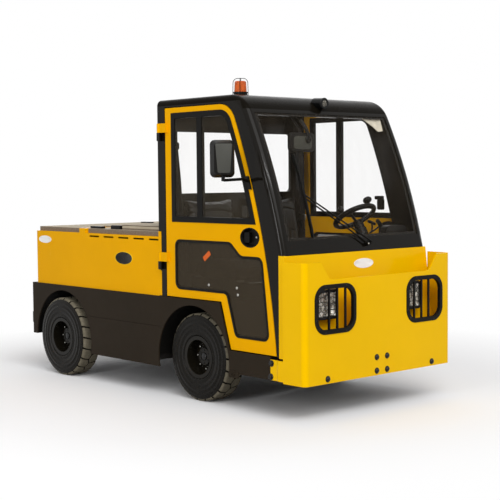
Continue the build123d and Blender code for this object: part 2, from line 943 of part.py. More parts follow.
def make_cab_frame(form):
    """Black welded frame: rear posts, top rails, front pillars, header and scuttle."""
    with BuildPart() as frame:
        add(form.part)
        with BuildSketch(Plane.XZ):
            with BuildLine():
                Polyline(
                    (cab_rear_x, cowl_top),
                    (cab_rear_x, sill_high),
                    (step_top_x, sill_high),
                    (step_foot_x, sill_low),
                    (pillar_front, sill_low),
                    (pillar_front, cowl_top),
                    close=True,
                )
            make_face()
        extrude(amount=cab_face, both=True)
        with BuildSketch(Plane.XZ):
            with BuildLine():
                draw_roof_region()
            make_face()
        extrude(amount=cab_face + 10, both=True, mode=Mode.SUBTRACT)
        # The cab's inside, open to the doors, the floor and the rear wall
        with BuildSketch(Plane.XZ):
            with BuildLine():
                draw_side_outline(screen_edge, cab_rear_x - 5, cowl_top + screen_skin, screen_skin)
            make_face()
        extrude(amount=frame_inner, both=True, mode=Mode.SUBTRACT)
        block(
            (cab_rear_x - 5, pillar_front - screen_skin),
            (-frame_inner, frame_inner),
            (sill_low - 20, cowl_top + screen_skin + 5),
            mode=Mode.SUBTRACT,
        )
        # Door openings, with a narrower land inside for the seal
        for inset, inner, outer in ((-door_gap, stop_face, cab_face + 1), (seal_land, 0, stop_face)):
            for side in (1, -1):
                with BuildSketch(Plane.XZ.offset(side * inner)):
                    with BuildLine():
                        draw_side_outline(door_edge, door_rear + inset, sill_low - 20, inset)
                    make_face()
                extrude(amount=side * (outer - inner), mode=Mode.SUBTRACT)
        # Windscreen opening and the rebate that the glass lies in
        with BuildSketch(Plane.XZ):
            with BuildLine():
                draw_edge_band(
                    screen_edge,
                    screen_glass_foot + screen_lap,
                    screen_glass_head - screen_lap,
                    -10,
                    screen_skin + 30,
                )
            make_face()
        extrude(amount=frame_inner, both=True, mode=Mode.SUBTRACT)
        with BuildSketch(Plane.XZ):
            with BuildLine():
                draw_edge_band(
                    screen_edge,
                    screen_glass_foot - seat_gap,
                    screen_glass_head + seat_gap,
                    -10,
                    glass_wall + 2 * seat_gap,
                )
            make_face()
        extrude(amount=screen_glass_half + seat_gap, both=True, mode=Mode.SUBTRACT)
    return finish(frame, "cab_frame")


def make_windscreen():
    """Single-curved windscreen that follows the pillars."""
    with BuildPart() as screen:
        with BuildSketch(Plane.XZ):
            with BuildLine():
                draw_edge_band(
                    screen_edge,
                    screen_glass_foot,
                    screen_glass_head,
                    seat_gap,
                    glass_wall + seat_gap,
                )
            make_face()
        extrude(amount=screen_glass_half, both=True)
    return finish(screen, "windscreen")


def make_roof(form):
    """Roof cap with rounded edges that rolls down over the windscreen header."""
    with BuildPart() as roof:
        with BuildSketch(Plane.XZ):
            with BuildLine():
                draw_roof_region(seat_gap)
            make_face()
        extrude(amount=cab_face + 10, both=True)
        add(form.part, mode=Mode.INTERSECT)
    return finish(roof, "roof")


def make_rear_wall():
    """Cab rear wall with its window opening, and the window glass in its rubber seat."""
    window_height = rear_window_head - rear_window_foot
    window_z = (rear_window_head + rear_window_foot) / 2
    half = frame_inner - seat_gap
    with BuildPart() as wall:
        block((cab_rear_x, cab_rear_x + rear_wall_depth), (-half, half), (sill_high, roof_base - 24))
        with BuildSketch(Plane.YZ.offset(cab_rear_x - 5)):
            with Locations((0, window_z)):
                RectangleRounded(2 * rear_window_half - 24, window_height - 24, 30)
        extrude(amount=rear_wall_depth + 10, mode=Mode.SUBTRACT)
        with BuildSketch(Plane.YZ.offset(cab_rear_x - 5)):
            with Locations((0, window_z)):
                RectangleRounded(2 * rear_window_half, window_height, 42)
        extrude(amount=5 + glass_wall + 2, mode=Mode.SUBTRACT)
    finish(wall, "rear_wall")

    with BuildPart() as window:
        with BuildSketch(Plane.YZ.offset(cab_rear_x + 2)):
            with Locations((0, window_z)):
                RectangleRounded(2 * rear_window_half - 2, window_height - 2, 41)
        extrude(amount=glass_wall - seat_gap)
    finish(window, "rear_window")


def make_cab_floor():
    """Bent floor sheet: the seat platform, the step and the foot well."""
    platform = sill_high - floor_wall
    well = sill_low - floor_wall
    with BuildPart() as floor:
        with BuildSketch(Plane.XZ):
            with BuildLine():
                Polyline(
                    (cab_rear_x, platform),
                    (step_top_x + 12, platform),
                    (step_foot_x + 12, well),
                    (pillar_front, well),
                    (pillar_front, well + floor_wall),
                    (step_foot_x + 16, well + floor_wall),
                    (step_top_x + 16, platform + floor_wall),
                    (cab_rear_x + rear_wall_depth, platform + floor_wall),
                    (cab_rear_x + rear_wall_depth, platform + floor_wall / 2),
                    (cab_rear_x, platform + floor_wall / 2),
                    close=True,
                )
            make_face()
        extrude(amount=door_inner - 2 * door_gap, both=True)
    return finish(floor, "cab_floor")


def draw_lower_window():
    """The lower door window's outline, which steps down over the foot well.

    Each corner has its x, its z and its radius.
    """
    rear = door_rear + lower_window_rear
    low = sill_low + lower_window_foot
    middle = sill_high + lower_window_step
    front_low = edge_x(door_edge, low, lower_window_front)
    front_high = edge_x(door_edge, lower_window_dip, lower_window_front / 2)
    corners = (
        (rear, middle, 52),
        (step_top_x + 57, middle, 34),
        (step_foot_x + 48, low, 44),
        (front_low, low, 46),
        (front_high, lower_window_dip, 52),
        (handle_x - 86, lower_window_dip, 66),
        (handle_x - 183, lower_window_head, 66),
        (rear, lower_window_head, 46),
    )
    FilletPolyline(*[(x, z) for x, z, _ in corners], radius=[r for _, _, r in corners], close=True)


def make_door():
    """Right-hand door leaf with both window openings, its handle hole and hinge leaves."""
    with BuildPart() as door:
        with BuildSketch(Plane.XZ.offset(door_inner)):
            with BuildLine():
                draw_side_outline(door_edge, door_rear, sill_low + door_gap)
            make_face()
            with BuildLine():
                Polyline(
                    (door_rear - 50, sill_low),
                    (door_rear - 50, sill_high + door_gap),
                    (step_top_x + door_gap, sill_high + door_gap),
                    (step_foot_x + door_gap, sill_low),
                    close=True,
                )
            make_face(mode=Mode.SUBTRACT)
            with BuildLine():
                draw_side_outline(door_edge, window_rear, window_foot, window_strip)
            make_face(mode=Mode.SUBTRACT)
            with BuildLine():
                draw_lower_window()
            make_face(mode=Mode.SUBTRACT)
            with Locations((handle_x, handle_z)):
                Ellipse(handle_length / 2, handle_height / 2, mode=Mode.SUBTRACT)
        extrude(amount=door_wall)
        for hinge_z in (upper_hinge_z, lower_hinge_z):
            block(
                (hinge_x, door_rear + 30),
                (-hinge_y - 6, -cab_face),
                (hinge_z, hinge_z + hinge_height),
            )
            tube((hinge_x, -hinge_y, hinge_z), (hinge_x, -hinge_y, hinge_z + hinge_height), barrel_radius)
            tube(
                (hinge_x, -hinge_y, hinge_z - 1),
                (hinge_x, -hinge_y, hinge_z + hinge_height - 10),
                hinge_pin_radius + shaft_clearance,
                mode=Mode.SUBTRACT,
            )
    finish(door, "door_right")
    twin(door, "door_left")


def make_hinge_posts():
    """Black lower halves of the lift-off hinges, with their pins, on the rear posts."""
    drop = 54
    with BuildPart() as posts:
        for hinge_z in (upper_hinge_z, lower_hinge_z):
            low = hinge_z - 1 - drop
            block((cab_rear_x + 17, hinge_x), (-hinge_y - 6, -cab_face - seat_gap), (low, hinge_z - 1))
            tube((hinge_x, -hinge_y, low), (hinge_x, -hinge_y, hinge_z - 1), barrel_radius)
            tube(
                (hinge_x, -hinge_y, low),
                (hinge_x, -hinge_y, hinge_z + hinge_height - 14),
                hinge_pin_radius,
            )
        mirror(about=Plane.XZ)
    return finish(posts, "hinge_posts")


def make_door_trim():
    """Black frame of the sliding window, edging of the lower one, and the handle cup."""
    frame_face = cab_face + edging_proud
    with BuildPart() as trim:
        with BuildSketch(Plane.XZ.offset(frame_face - window_frame_depth)):
            with BuildLine():
                draw_side_outline(
                    door_edge,
                    window_rear + seat_gap,
                    window_foot + seat_gap,
                    window_strip + seat_gap,
                )
            make_face()
            with BuildLine():
                draw_side_outline(
                    door_edge,
                    window_rear + window_frame,
                    window_foot + window_frame,
                    window_strip + window_frame,
                )
            make_face(mode=Mode.SUBTRACT)
            with Locations((mullion_x, (window_foot + door_top - window_strip) / 2)):
                Rectangle(mullion_width, door_top - window_strip - window_foot - window_frame)
        extrude(amount=window_frame_depth)
        with BuildSketch(Plane.XZ.offset(frame_face - window_frame_depth)):
            with BuildLine():
                draw_lower_window()
            ring = make_face()
            offset(ring, amount=-seat_gap, mode=Mode.REPLACE)
            offset(ring, amount=-edging_width, mode=Mode.SUBTRACT)
        extrude(amount=window_frame_depth)
        # Handle cup: a dished oval bowl with the pull lever across it
        with BuildSketch(Plane.XZ.offset(door_inner)):
            with Locations((handle_x, handle_z)):
                Ellipse(handle_length / 2 - seat_gap, handle_height / 2 - seat_gap)
        extrude(amount=door_wall + 2)
        with BuildSketch(Plane.XZ.offset(door_inner + 5)):
            with Locations((handle_x, handle_z)):
                Ellipse(handle_length / 2 - 16, handle_height / 2 - 16)
        extrude(amount=door_wall, taper=-18, mode=Mode.SUBTRACT)
        with BuildSketch(Plane.XZ.offset(door_inner + 2)):
            with Locations((handle_x - 34, handle_z)):
                RectangleRounded(46, handle_height - 60, 10)
        extrude(amount=door_wall - 8)
    finish(trim, "door_trim_right")
    twin(trim, "door_trim_left")


def make_door_glass():
    """Panes of the sliding window, each side of its mullion, and of the lower window."""
    pane = cab_face + edging_proud - window_frame_depth / 2
    lap = seat_gap
    with BuildPart() as glass:
        with BuildSketch(Plane.XZ.offset(pane)):
            with BuildLine():
                draw_side_outline(
                    door_edge,
                    window_rear + window_frame + lap,
                    window_foot + window_frame + lap,
                    window_strip + window_frame + lap,
                )
            make_face()
            with Locations((mullion_x, (window_foot + door_top) / 2)):
                Rectangle(mullion_width + 2 * lap, door_top, mode=Mode.SUBTRACT)
        extrude(amount=glass_wall)
        with BuildSketch(Plane.XZ.offset(pane)):
            with BuildLine():
                draw_lower_window()
            lower = make_face()
            offset(lower, amount=-edging_width - lap, mode=Mode.REPLACE)
        extrude(amount=glass_wall)
    finish(glass, "door_glass_right")
    twin(glass, "door_glass_left")


def wheel_plane(axle_x, face):
    """A plane across a right-hand wheel: local X runs outward along the axle from the
    tyre's inner face, and local Y is the radius."""
    return Plane(
        origin=(axle_x, tyre_width - face, tyre_radius),
        x_dir=(0, -1, 0),
        z_dir=(-1, 0, 0),
    )


def ring_section(start, end, inner, outer):
    """A rectangle of a wheel's section, between two places along the axle and two radii."""
    with Locations(((start + end) / 2, (inner + outer) / 2)):
        Rectangle(end - start, outer - inner)


def make_rim(axle_x, face, spindle_radius, names):
    """A right-hand rim and its left-hand twin: deep dish, hub and a circle of nuts."""
    plane = wheel_plane(axle_x, face)
    axle = Axis((axle_x, 0, tyre_radius), (0, -1, 0))
    barrel_inner = rim_radius - rim_wall
    disc_end = tyre_width - disc_inset
    disc_start = disc_end - rim_disc
    hub_end = disc_end + 34
    bore = spindle_radius + shaft_clearance
    with BuildPart() as rim:
        with BuildSketch(plane):
            ring_section(4, tyre_width - 4, barrel_inner, rim_radius - seat_gap)
            ring_section(4, 10, barrel_inner, rim_radius + rim_lip)
            ring_section(tyre_width - 10, tyre_width - 4, barrel_inner, rim_radius + rim_lip)
            ring_section(disc_start, disc_end, bore, barrel_inner)
            ring_section(disc_start - rim_disc, hub_end, bore, hub_radius)
            ring_section(hub_end - rim_disc, hub_end, 0, hub_radius)
        revolve(axis=axle)
        face_y = face - tyre_width + disc_end - 1
        with BuildSketch(Plane.XZ.offset(face_y)):
            with Locations((axle_x, tyre_radius)):
                with PolarLocations(nut_circle, wheel_nuts):
                    RegularPolygon(13, 6)
        extrude(amount=18)
    finish(rim, f"rim_{names}_right")
    twin(rim, f"rim_{names}_left")


def make_tyre(axle_x, face, names):
    """A right-hand tyre and its left-hand twin, with two rows of blocks in the tread.

    A zigzag groove runs round the middle, and a groove runs from each of its corners to
    the nearer shoulder.
    """
    plane = wheel_plane(axle_x, face)
    axle = Axis((axle_x, 0, tyre_radius), (0, -1, 0))
    bead = rim_radius + rim_lip + seat_gap
    bulge = (rim_radius + tyre_radius) / 2 + 12
    middle_y = tyre_width / 2 - face
    step = 180 / tread_blocks
    with BuildPart() as tyre:
        with BuildSketch(plane):
            with BuildLine():
                Polyline(
                    (10 + seat_gap, rim_radius + 1),
                    (10 + seat_gap, bead),
                    (3, bead + 8),
                    (0, bulge),
                    (5, tyre_radius - tyre_shoulder),
                    (tyre_shoulder, tyre_radius),
                    (tyre_width - tyre_shoulder, tyre_radius),
                    (tyre_width - 5, tyre_radius - tyre_shoulder),
                    (tyre_width, bulge),
                    (tyre_width - 3, bead + 8),
                    (tyre_width - 10 - seat_gap, bead),
                    (tyre_width - 10 - seat_gap, rim_radius + 1),
                    close=True,
                )
            make_face()
        revolve(axis=axle)
        # Each groove's start and end, across the tyre in millimetres and round it in degrees
        for side in (-1, 1):
            corner = (side * tread_zigzag, 0)
            grooves = (
                ((-side * tread_zigzag, -step), corner, 0),
                (corner, (side * tyre_width / 2, step / 2), 3),
            )
            for start, end, overrun in grooves:
                across = end[0] - start[0]
                run = radians(end[1] - start[1]) * tyre_radius
                turn = (start[1] + end[1] + (side + 1) * step) / 2
                middle = Location((0, (start[0] + end[0]) / 2, tyre_radius))
                places = [
                    Location((axle_x, middle_y, tyre_radius), (0, turn + 2 * step * block, 0)) * middle
                    for block in range(tread_blocks)
                ]
                with Locations(*places):
                    Box(
                        tread_groove,
                        hypot(run, across) + tread_groove + overrun,
                        2 * tread_depth,
                        rotation=(0, 0, -degrees(atan2(run, across))),
                        mode=Mode.SUBTRACT,
                    )
    finish(tyre, f"tyre_{names}_right")
    twin(tyre, f"tyre_{names}_left")


def make_front_axle():
    """Steered axle beam with a boss for each kingpin."""
    boss = kingpin_radius + 17
    half_beam = axle_beam_half
    with BuildPart() as axle:
        block(
            (front_axle_x - half_beam, front_axle_x + half_beam),
            (-kingpin_y + boss / 2, kingpin_y - boss / 2),
            (tyre_radius - half_beam, tyre_radius + half_beam),
        )
        chamfer(axle.edges().filter_by(Axis.Y), 10)
        # Pads under the front rails
        block(
            (front_axle_x - 70, front_axle_x + 70),
            (-front_rail_half - 30, front_rail_half + 30),
            (tyre_radius + half_beam - 4, tyre_radius + front_axle_lift - seat_gap),
        )
        for side in (-1, 1):
            tube(
                (front_axle_x, side * kingpin_y, tyre_radius - half_beam),
                (front_axle_x, side * kingpin_y, tyre_radius + half_beam),
                boss,
            )
            tube(
                (front_axle_x, side * kingpin_y, tyre_radius - half_beam - 1),
                (front_axle_x, side * kingpin_y, tyre_radius + half_beam + 1),
                kingpin_radius + shaft_clearance,
                mode=Mode.SUBTRACT,
            )
    return finish(axle, "front_axle")


def make_knuckles():
    """Right-hand knuckle and its twin: forked yoke, kingpin, spindle and steering arm."""
    boss = kingpin_radius + 15
    lug_low = tyre_radius - axle_beam_half - 1 - yoke_lug
    lug_high = tyre_radius + axle_beam_half + 1
    yoke_x = (front_axle_x - 26, front_axle_x + 26)
    arm_x = front_axle_x - steer_arm_length
    disc_y = front_wheel_face - disc_inset
    with BuildPart() as knuckle:
        for low in (lug_low, lug_high):
            tube((front_axle_x, -kingpin_y, low), (front_axle_x, -kingpin_y, low + yoke_lug), boss)
            block(yoke_x, (-kingpin_y - yoke_depth, -kingpin_y), (low, low + yoke_lug))
        block(
            yoke_x,
            (-kingpin_y - yoke_depth, -kingpin_y - boss - 9),
            (lug_low, lug_high + yoke_lug),
        )
        tube(
            (front_axle_x, -kingpin_y, lug_low),
            (front_axle_x, -kingpin_y, lug_high + yoke_lug),
            kingpin_radius,
        )
        tube(
            (front_axle_x, -kingpin_y - boss - 10, tyre_radius),
            (front_axle_x, -disc_y, tyre_radius),
            front_spindle_radius,
        )
        # Steering arm, a flat bar that runs straight back to the tie rod's pin
        with BuildSketch(Plane.XY.offset(lug_low)):
            with Locations((front_axle_x, -kingpin_y)):
                Rectangle(steer_arm_length, 2 * steer_arm_half, align=(Align.MAX, Align.CENTER))
            with Locations((arm_x, -kingpin_y)):
                Circle(steer_arm_half)
        extrude(amount=14)
        tube((arm_x, -kingpin_y, lug_low - 34), (arm_x, -kingpin_y, lug_low + 1), ball_pin_radius)
    finish(knuckle, "knuckle_right")
    twin(knuckle, "knuckle_left")

    rod_z = lug_low - 17
    with BuildPart() as rod:
        tube((arm_x, -kingpin_y, rod_z), (arm_x, kingpin_y, rod_z), tie_rod_radius)
        for side in (-1, 1):
            tube(
                (arm_x, side * kingpin_y, rod_z - rod_eye_radius),
                (arm_x, side * kingpin_y, rod_z + rod_eye_radius),
                rod_eye_radius,
            )
        for side in (-1, 1):
            tube(
                (arm_x, side * kingpin_y, rod_z - 2 * rod_eye_radius),
                (arm_x, side * kingpin_y, rod_z + 2 * rod_eye_radius),
                ball_pin_radius + 2 * shaft_clearance,
                mode=Mode.SUBTRACT,
            )
    finish(rod, "tie_rod")


def make_drive_axle():
    """Rear drive axle: tubes, gear housing, brake drums, spindles and the drive motor."""
    tube_end = rear_wheel_face - tyre_width - yoke_lug
    disc_y = rear_wheel_face - disc_inset
    motor_start = tyre_radius + 30
    with BuildPart() as axle:
        tube(
            (rear_axle_x, -tube_end, tyre_radius),
            (rear_axle_x, tube_end, tyre_radius),
            rear_tube_radius,
        )
        for side in (-1, 1):
            tube(
                (rear_axle_x, side * (tube_end - 50), tyre_radius),
                (rear_axle_x, side * (tube_end + 6), tyre_radius),
                drum_radius,
            )
            tube(
                (rear_axle_x, side * tube_end, tyre_radius),
                (rear_axle_x, side * disc_y, tyre_radius),
                rear_spindle_radius,
            )
            block(
                (rear_axle_x - 70, rear_axle_x + 70),
                (side * rear_rail_half - 30, side * rear_rail_half + 30),
                (tyre_radius + 30, tyre_radius + rear_axle_lift - seat_gap),
            )
        with Locations((rear_axle_x, 0, tyre_radius)):
            Sphere(gear_case_radius)
        tube(
            (rear_axle_x, 0, motor_start),
            (rear_axle_x - motor_length, 0, motor_start + motor_rise),
            motor_radius,
        )
        for rib in range(motor_ribs):
            start = rear_axle_x - 150 - 38 * rib
            rib_z = motor_start + motor_rise * (rear_axle_x - start) / motor_length
            tube((start, 0, rib_z), (start - 14, 0, rib_z + 1), motor_radius + 8)
    return finish(axle, "drive_axle")


def make_hitch():
    """Two-level tow jaw bolted to the tail plate, and its lift-out pin."""
    with BuildPart() as hitch:
        back = skirt_rear - seat_gap
        half = jaw_width / 2 + 30
        block((back - jaw_plate, back), (-half, half), (hitch_levels[0] - 32, hitch_levels[-1] + 42))
        fillet(hitch.edges().filter_by(Axis.X), 14)
        for level in hitch_levels:
            with BuildSketch(Plane.XY.offset(level - jaw_plate / 2)):
                with BuildLine():
                    draw_plan(back, hitch_rear, jaw_width / 2, 42)
                make_face()
            extrude(amount=jaw_plate)
        with Locations((hitch_pin_x, 0, hitch_levels[-1] + jaw_plate / 2)):
            Hole(hitch_pin_radius + 1, depth=hitch_levels[-1] - hitch_levels[0] + 2 * jaw_plate)
    finish(hitch, "tow_jaw")

    with BuildPart() as pin:
        top = hitch_levels[-1] + jaw_plate / 2
        tube((hitch_pin_x, 0, hitch_levels[0] - 14), (hitch_pin_x, 0, top + 8), hitch_pin_radius)
        tube((hitch_pin_x, 0, top), (hitch_pin_x, 0, top + 10), hitch_pin_radius + 10)
        with BuildLine():
            grip = Polyline(
                (hitch_pin_x, 0, top + 8),
                (hitch_pin_x, 0, top + 34),
                (hitch_pin_x, -34, top + 50),
                (hitch_pin_x, -34, top + 84),
                (hitch_pin_x, 34, top + 84),
                (hitch_pin_x, 34, top + 50),
                (hitch_pin_x, 0, top + 34),
            )
        for a, b in zip(grip.vertices(), grip.vertices()[1:]):
            tube(tuple(a), tuple(b), 6)
    finish(pin, "hitch_pin")


def make_seats():
    """Pedestals and soft pads of the two seats."""
    floor_top = sill_high + seat_gap
    with BuildPart() as bases:
        block(
            (seat_back_x + 15, seat_back_x + cushion_length),
            (-seat_y - seat_width / 2 + 40, -seat_y + seat_width / 2 - 40),
            (floor_top, seat_level),
        )
        chamfer(bases.edges().filter_by(Axis.Z), 25)
        mirror(about=Plane.XZ)
    finish(bases, "seat_bases")

    with BuildPart() as pads:
        low = seat_level + seat_gap
        cushion_x = seat_back_x + backrest_wall + seat_gap
        block(
            (cushion_x, cushion_x + cushion_length),
            (-seat_y - seat_width / 2, -seat_y + seat_width / 2),
            (low, seat_level + cushion_height),
        )
        with BuildSketch(Plane.XZ.offset(seat_y - seat_width / 2 + 10)):
            with BuildLine():
                Polyline(
                    (seat_back_x, low),
                    (seat_back_x - 50, low + backrest_height),
                    (seat_back_x - 50 + backrest_wall * 0.7, low + backrest_height),
                    (seat_back_x + backrest_wall, low + cushion_height),
                    (seat_back_x + backrest_wall, low),
                    close=True,
                )
            make_face()
        extrude(amount=seat_width - 20)
        fillet(pads.edges().filter_by(Axis.Y), 22)
        mirror(about=Plane.XZ)
    finish(pads, "seat_pads")


def make_steering():
    """Column on its pedestal, and the dished three-spoke wheel with its knob."""
    lean = radians(wheel_tilt)
    centre = (wheel_x, wheel_y, wheel_z)
    tilted = Plane(origin=centre, x_dir=(0, 1, 0), z_dir=(-sin(lean), 0, cos(lean)))
    boss_radius = 34
    boss_half = 26
    neck = -wheel_dish - boss_half - seat_gap
    low = neck - column_length
    foot_x = wheel_x - low * sin(lean)
    foot_z = wheel_z + low * cos(lean)
    floor_top = sill_low + seat_gap
    with BuildPart() as column:
        with BuildSketch(Plane.XY.offset(floor_top)):
            with Locations((foot_x, wheel_y)):
                RectangleRounded(120, 150, 20)
        with BuildSketch(Plane.XY.offset(foot_z + 30)):
            with Locations((foot_x - 8, wheel_y)):
                RectangleRounded(84, 100, 20)
        loft()
        with Locations(tilted):
            with Locations((0, 0, low)):
                Cylinder(27, neck - low, align=(Align.CENTER, Align.CENTER, Align.MIN))
            with Locations((0, 0, neck - 70)):
                Cylinder(38, 60, align=(Align.CENTER, Align.CENTER, Align.MIN))
    finish(column, "steering_column")

    reach = wheel_radius - wheel_rim
    knob = (reach * cos(radians(190)), reach * sin(radians(190)))
    with BuildPart(tilted) as wheel:
        with Locations((0, 0, -wheel_dish)):
            Cylinder(boss_radius, 2 * boss_half)
        for turn in (90, 210, 330):
            tip = (reach * cos(radians(turn)), reach * sin(radians(turn)), 0)
            tube((0, 0, -wheel_dish), tip, 10)
        with Locations((*knob, 0)):
            Cylinder(8, 40, align=(Align.CENTER, Align.CENTER, Align.MIN))
        with Locations((*knob, 46)):
            Sphere(22)
        with BuildSketch(tilted * Plane.XZ):
            with Locations((reach, 0)):
                RectangleRounded(2 * wheel_rim, 2 * wheel_rim - 2, wheel_rim - 2)
        revolve(axis=Axis(centre, tilted.z_dir))
    finish(wheel, "steering_wheel")


def make_dashboard():
    """Dashboard across the cab under the windscreen, with a hooded instrument pod."""
    half = frame_inner - seat_gap
    dash_back = pillar_front - screen_skin - seat_gap
    dash_face = dash_back - dash_depth
    dash_top = dash_foot + dash_height
    with BuildPart() as dash:
        with BuildSketch(Plane.XZ):
            with BuildLine():
                FilletPolyline(
                    (dash_face + 44, dash_foot),
                    (dash_face, dash_top - 56),
                    (dash_face + 20, dash_top),
                    (dash_back, dash_top + 12),
                    (dash_back, dash_foot),
                    radius=10,
                    close=True,
                )
            make_face()
        extrude(amount=half, both=True)
        with BuildSketch(Plane.YZ.offset(dash_face - 3)):
            with Locations((half - pod_width / 2, dash_top)):
                RectangleRounded(pod_width, pod_height, 60)
                Rectangle(2 * pod_width, pod_height, align=(Align.CENTER, Align.MAX), mode=Mode.SUBTRACT)
        extrude(amount=60)
    return finish(dash, "dashboard")


def make_pedals():
    """Accelerator and brake pedals that stand on the foot well floor."""
    floor_top = sill_low + seat_gap
    with BuildPart() as pedals:
        for pedal_y, width in ((wheel_y - 125, 70), (wheel_y + 125, 60)):
            block(
                (pedal_x, pedal_x + pedal_length),
                (pedal_y - width / 2, pedal_y + width / 2),
                (floor_top, floor_top + 14),
            )
            with BuildSketch(Plane.XZ.offset(-pedal_y - width / 2)):
                with BuildLine():
                    Polyline(
                        (pedal_x + 4, floor_top + 10),
                        (pedal_x + 2 * pedal_length, floor_top + pedal_rise),
                        (pedal_x + 2 * pedal_length + 12, floor_top + pedal_rise - 8),
                        (pedal_x + 20, floor_top + 6),
                        close=True,
                    )
                make_face()
            extrude(amount=width)
    return finish(pedals, "pedals")


def make_mirrors():
    """Mirror on the right door, carried by an arm, and the bare bracket on the left."""
    middle_z = mirror_foot + mirror_foot_height / 2 + 1
    bracket_x = edge_x(door_edge, middle_z, window_strip / 2)
    elbow = (bracket_x + 12, -cab_face - 63, middle_z + 22)
    stem_z = mirror_z - mirror_height / 2
    turn = radians(mirror_turn)
    with BuildPart() as mirror_right:
        with BuildSketch(Plane.XZ.offset(cab_face + seat_gap)):
            with BuildLine():
                top_z = mirror_foot + mirror_foot_height
                draw_edge_band(door_edge, mirror_foot, top_z, 3, window_strip - 3)
            make_face()
        extrude(amount=12)
        tube((bracket_x, -cab_face - 8, middle_z + 10), elbow, 11)
        tube(elbow, (mirror_x, mirror_y + 8, stem_z - 16), 9)
        tube((mirror_x, mirror_y, stem_z - 22), (mirror_x, mirror_y, stem_z + 18), 11)
        case = Plane(
            origin=(mirror_x, mirror_y, mirror_z),
            x_dir=(sin(turn), cos(turn), 0),
            z_dir=(cos(turn), -sin(turn), 0),
        )
        with BuildSketch(case.offset(-22)):
            RectangleRounded(mirror_width, mirror_height, 30)
        with BuildSketch(case.offset(30)):
            RectangleRounded(mirror_width - 32, mirror_height - 35, 26)
        loft()
    finish(mirror_right, "mirror_right")

    low, high = mirror_z - 20, mirror_z + 100
    bar_ends = [
        (edge_x(door_edge, z, window_strip / 2), cab_face + 20, z) for z in (low + 4, high - 4)
    ]
    with BuildPart() as bracket:
        with BuildSketch(Plane.XZ.offset(-cab_face - 14)):
            with BuildLine():
                draw_edge_band(door_edge, low, high, 3, window_strip - 3)
            make_face()
        extrude(amount=14 - seat_gap)
        tube(*bar_ends, 9)
    finish(bracket, "mirror_bracket_left")


def make_interior_mirror():
    """Interior mirror on a stalk from the windscreen header."""
    with BuildPart() as mirror_inside:
        back_x = inner_mirror_x - 16
        elbow = (back_x - 4, inner_mirror_y, inner_mirror_z + 80)
        base_x = inner_mirror_x - 163
        half_height = 52
        tube((base_x, inner_mirror_y, roof_base - 6), (base_x, inner_mirror_y, roof_base), 24)
        tube((base_x, inner_mirror_y, roof_base - 4), elbow, 7)
        tube(elbow, (back_x, inner_mirror_y, inner_mirror_z), 7)
        with BuildSketch(Plane.YZ.offset(back_x)):
            with Locations((inner_mirror_y, inner_mirror_z)):
                RectangleRounded(inner_mirror_width, 2 * half_height, 22)
        with BuildSketch(Plane.YZ.offset(inner_mirror_x + 6)):
            with Locations((inner_mirror_y, inner_mirror_z)):
                RectangleRounded(inner_mirror_width - 40, 2 * half_height - 34, 20)
        loft()
        with BuildSketch(Plane.YZ.offset(back_x)):
            with Locations((inner_mirror_y, inner_mirror_z)):
                RectangleRounded(inner_mirror_width, 2 * half_height, 22)
        extrude(amount=-6)
    return finish(mirror_inside, "interior_mirror")


def make_wiper():
    """Pantograph wiper: spindle boss on the scuttle, two arms and the blade."""
    def on_glass(y, z, stand):
        return (edge_x(screen_edge, z, -stand), y, z)

    root_z = cowl_top + wiper_root
    low = screen_glass_foot + 12
    middle = low + wiper_blade / 2
    roots = (on_glass(110, root_z, 2), on_glass(78, root_z - 12, 2))
    joints = (on_glass(wiper_y, middle + 4, 20), on_glass(wiper_y, middle - 18, 20))
    with BuildPart() as wiper:
        for root, joint in zip(roots, joints):
            out = (root[0] + 22, root[1], root[2] + 6)
            tube((root[0] - 1, root[1], root[2]), out, 12)
            tube(out, joint, 5)
        with BuildSketch(Plane.XZ.offset(-wiper_y - 6)):
            with BuildLine():
                draw_edge_band(screen_edge, low, low + wiper_blade, -22, -3)
            make_face()
        extrude(amount=12)
    return finish(wiper, "wiper")


def make_beacon():
    """Amber warning beacon with its base and wire guard."""
    low = roof_top + seat_gap
    with BuildPart() as base:
        with Locations((beacon_x, beacon_y, low)):
            Cylinder(beacon_radius, 10, align=(Align.CENTER, Align.CENTER, Align.MIN))
        with Locations((beacon_x, beacon_y, low + 10)):
            Cylinder(beacon_radius - 10, 14, align=(Align.CENTER, Align.CENTER, Align.MIN))
        for turn in (45, 135):
            way = Vector(cos(radians(turn)), sin(radians(turn)), 0)
            hoop = Plane(
                origin=(beacon_x, beacon_y, low),
                x_dir=tuple(way),
                z_dir=tuple(way.cross(Vector(0, 0, 1))),
            )
            foot = beacon_radius - 4
            with BuildLine(hoop):
                wire = FilletPolyline(
                    (-foot, 6),
                    (3 - foot, beacon_height),
                    (foot - 3, beacon_height),
                    (foot, 6),
                    radius=30,
                )
            with BuildSketch(Plane(origin=wire @ 0, z_dir=wire % 0)):
                Circle(2)
            sweep(path=wire)
    finish(base, "beacon_base")

    with BuildPart() as lens:
        with Locations((beacon_x, beacon_y, low + 24 + seat_gap)):
            Cone(
                beacon_radius - 13,
                beacon_radius - 17,
                beacon_height - 42,
                align=(Align.CENTER, Align.CENTER, Align.MIN),
            )
        fillet(lens.edges().sort_by(Axis.Z)[-1], 9)
    finish(lens, "beacon_lens")


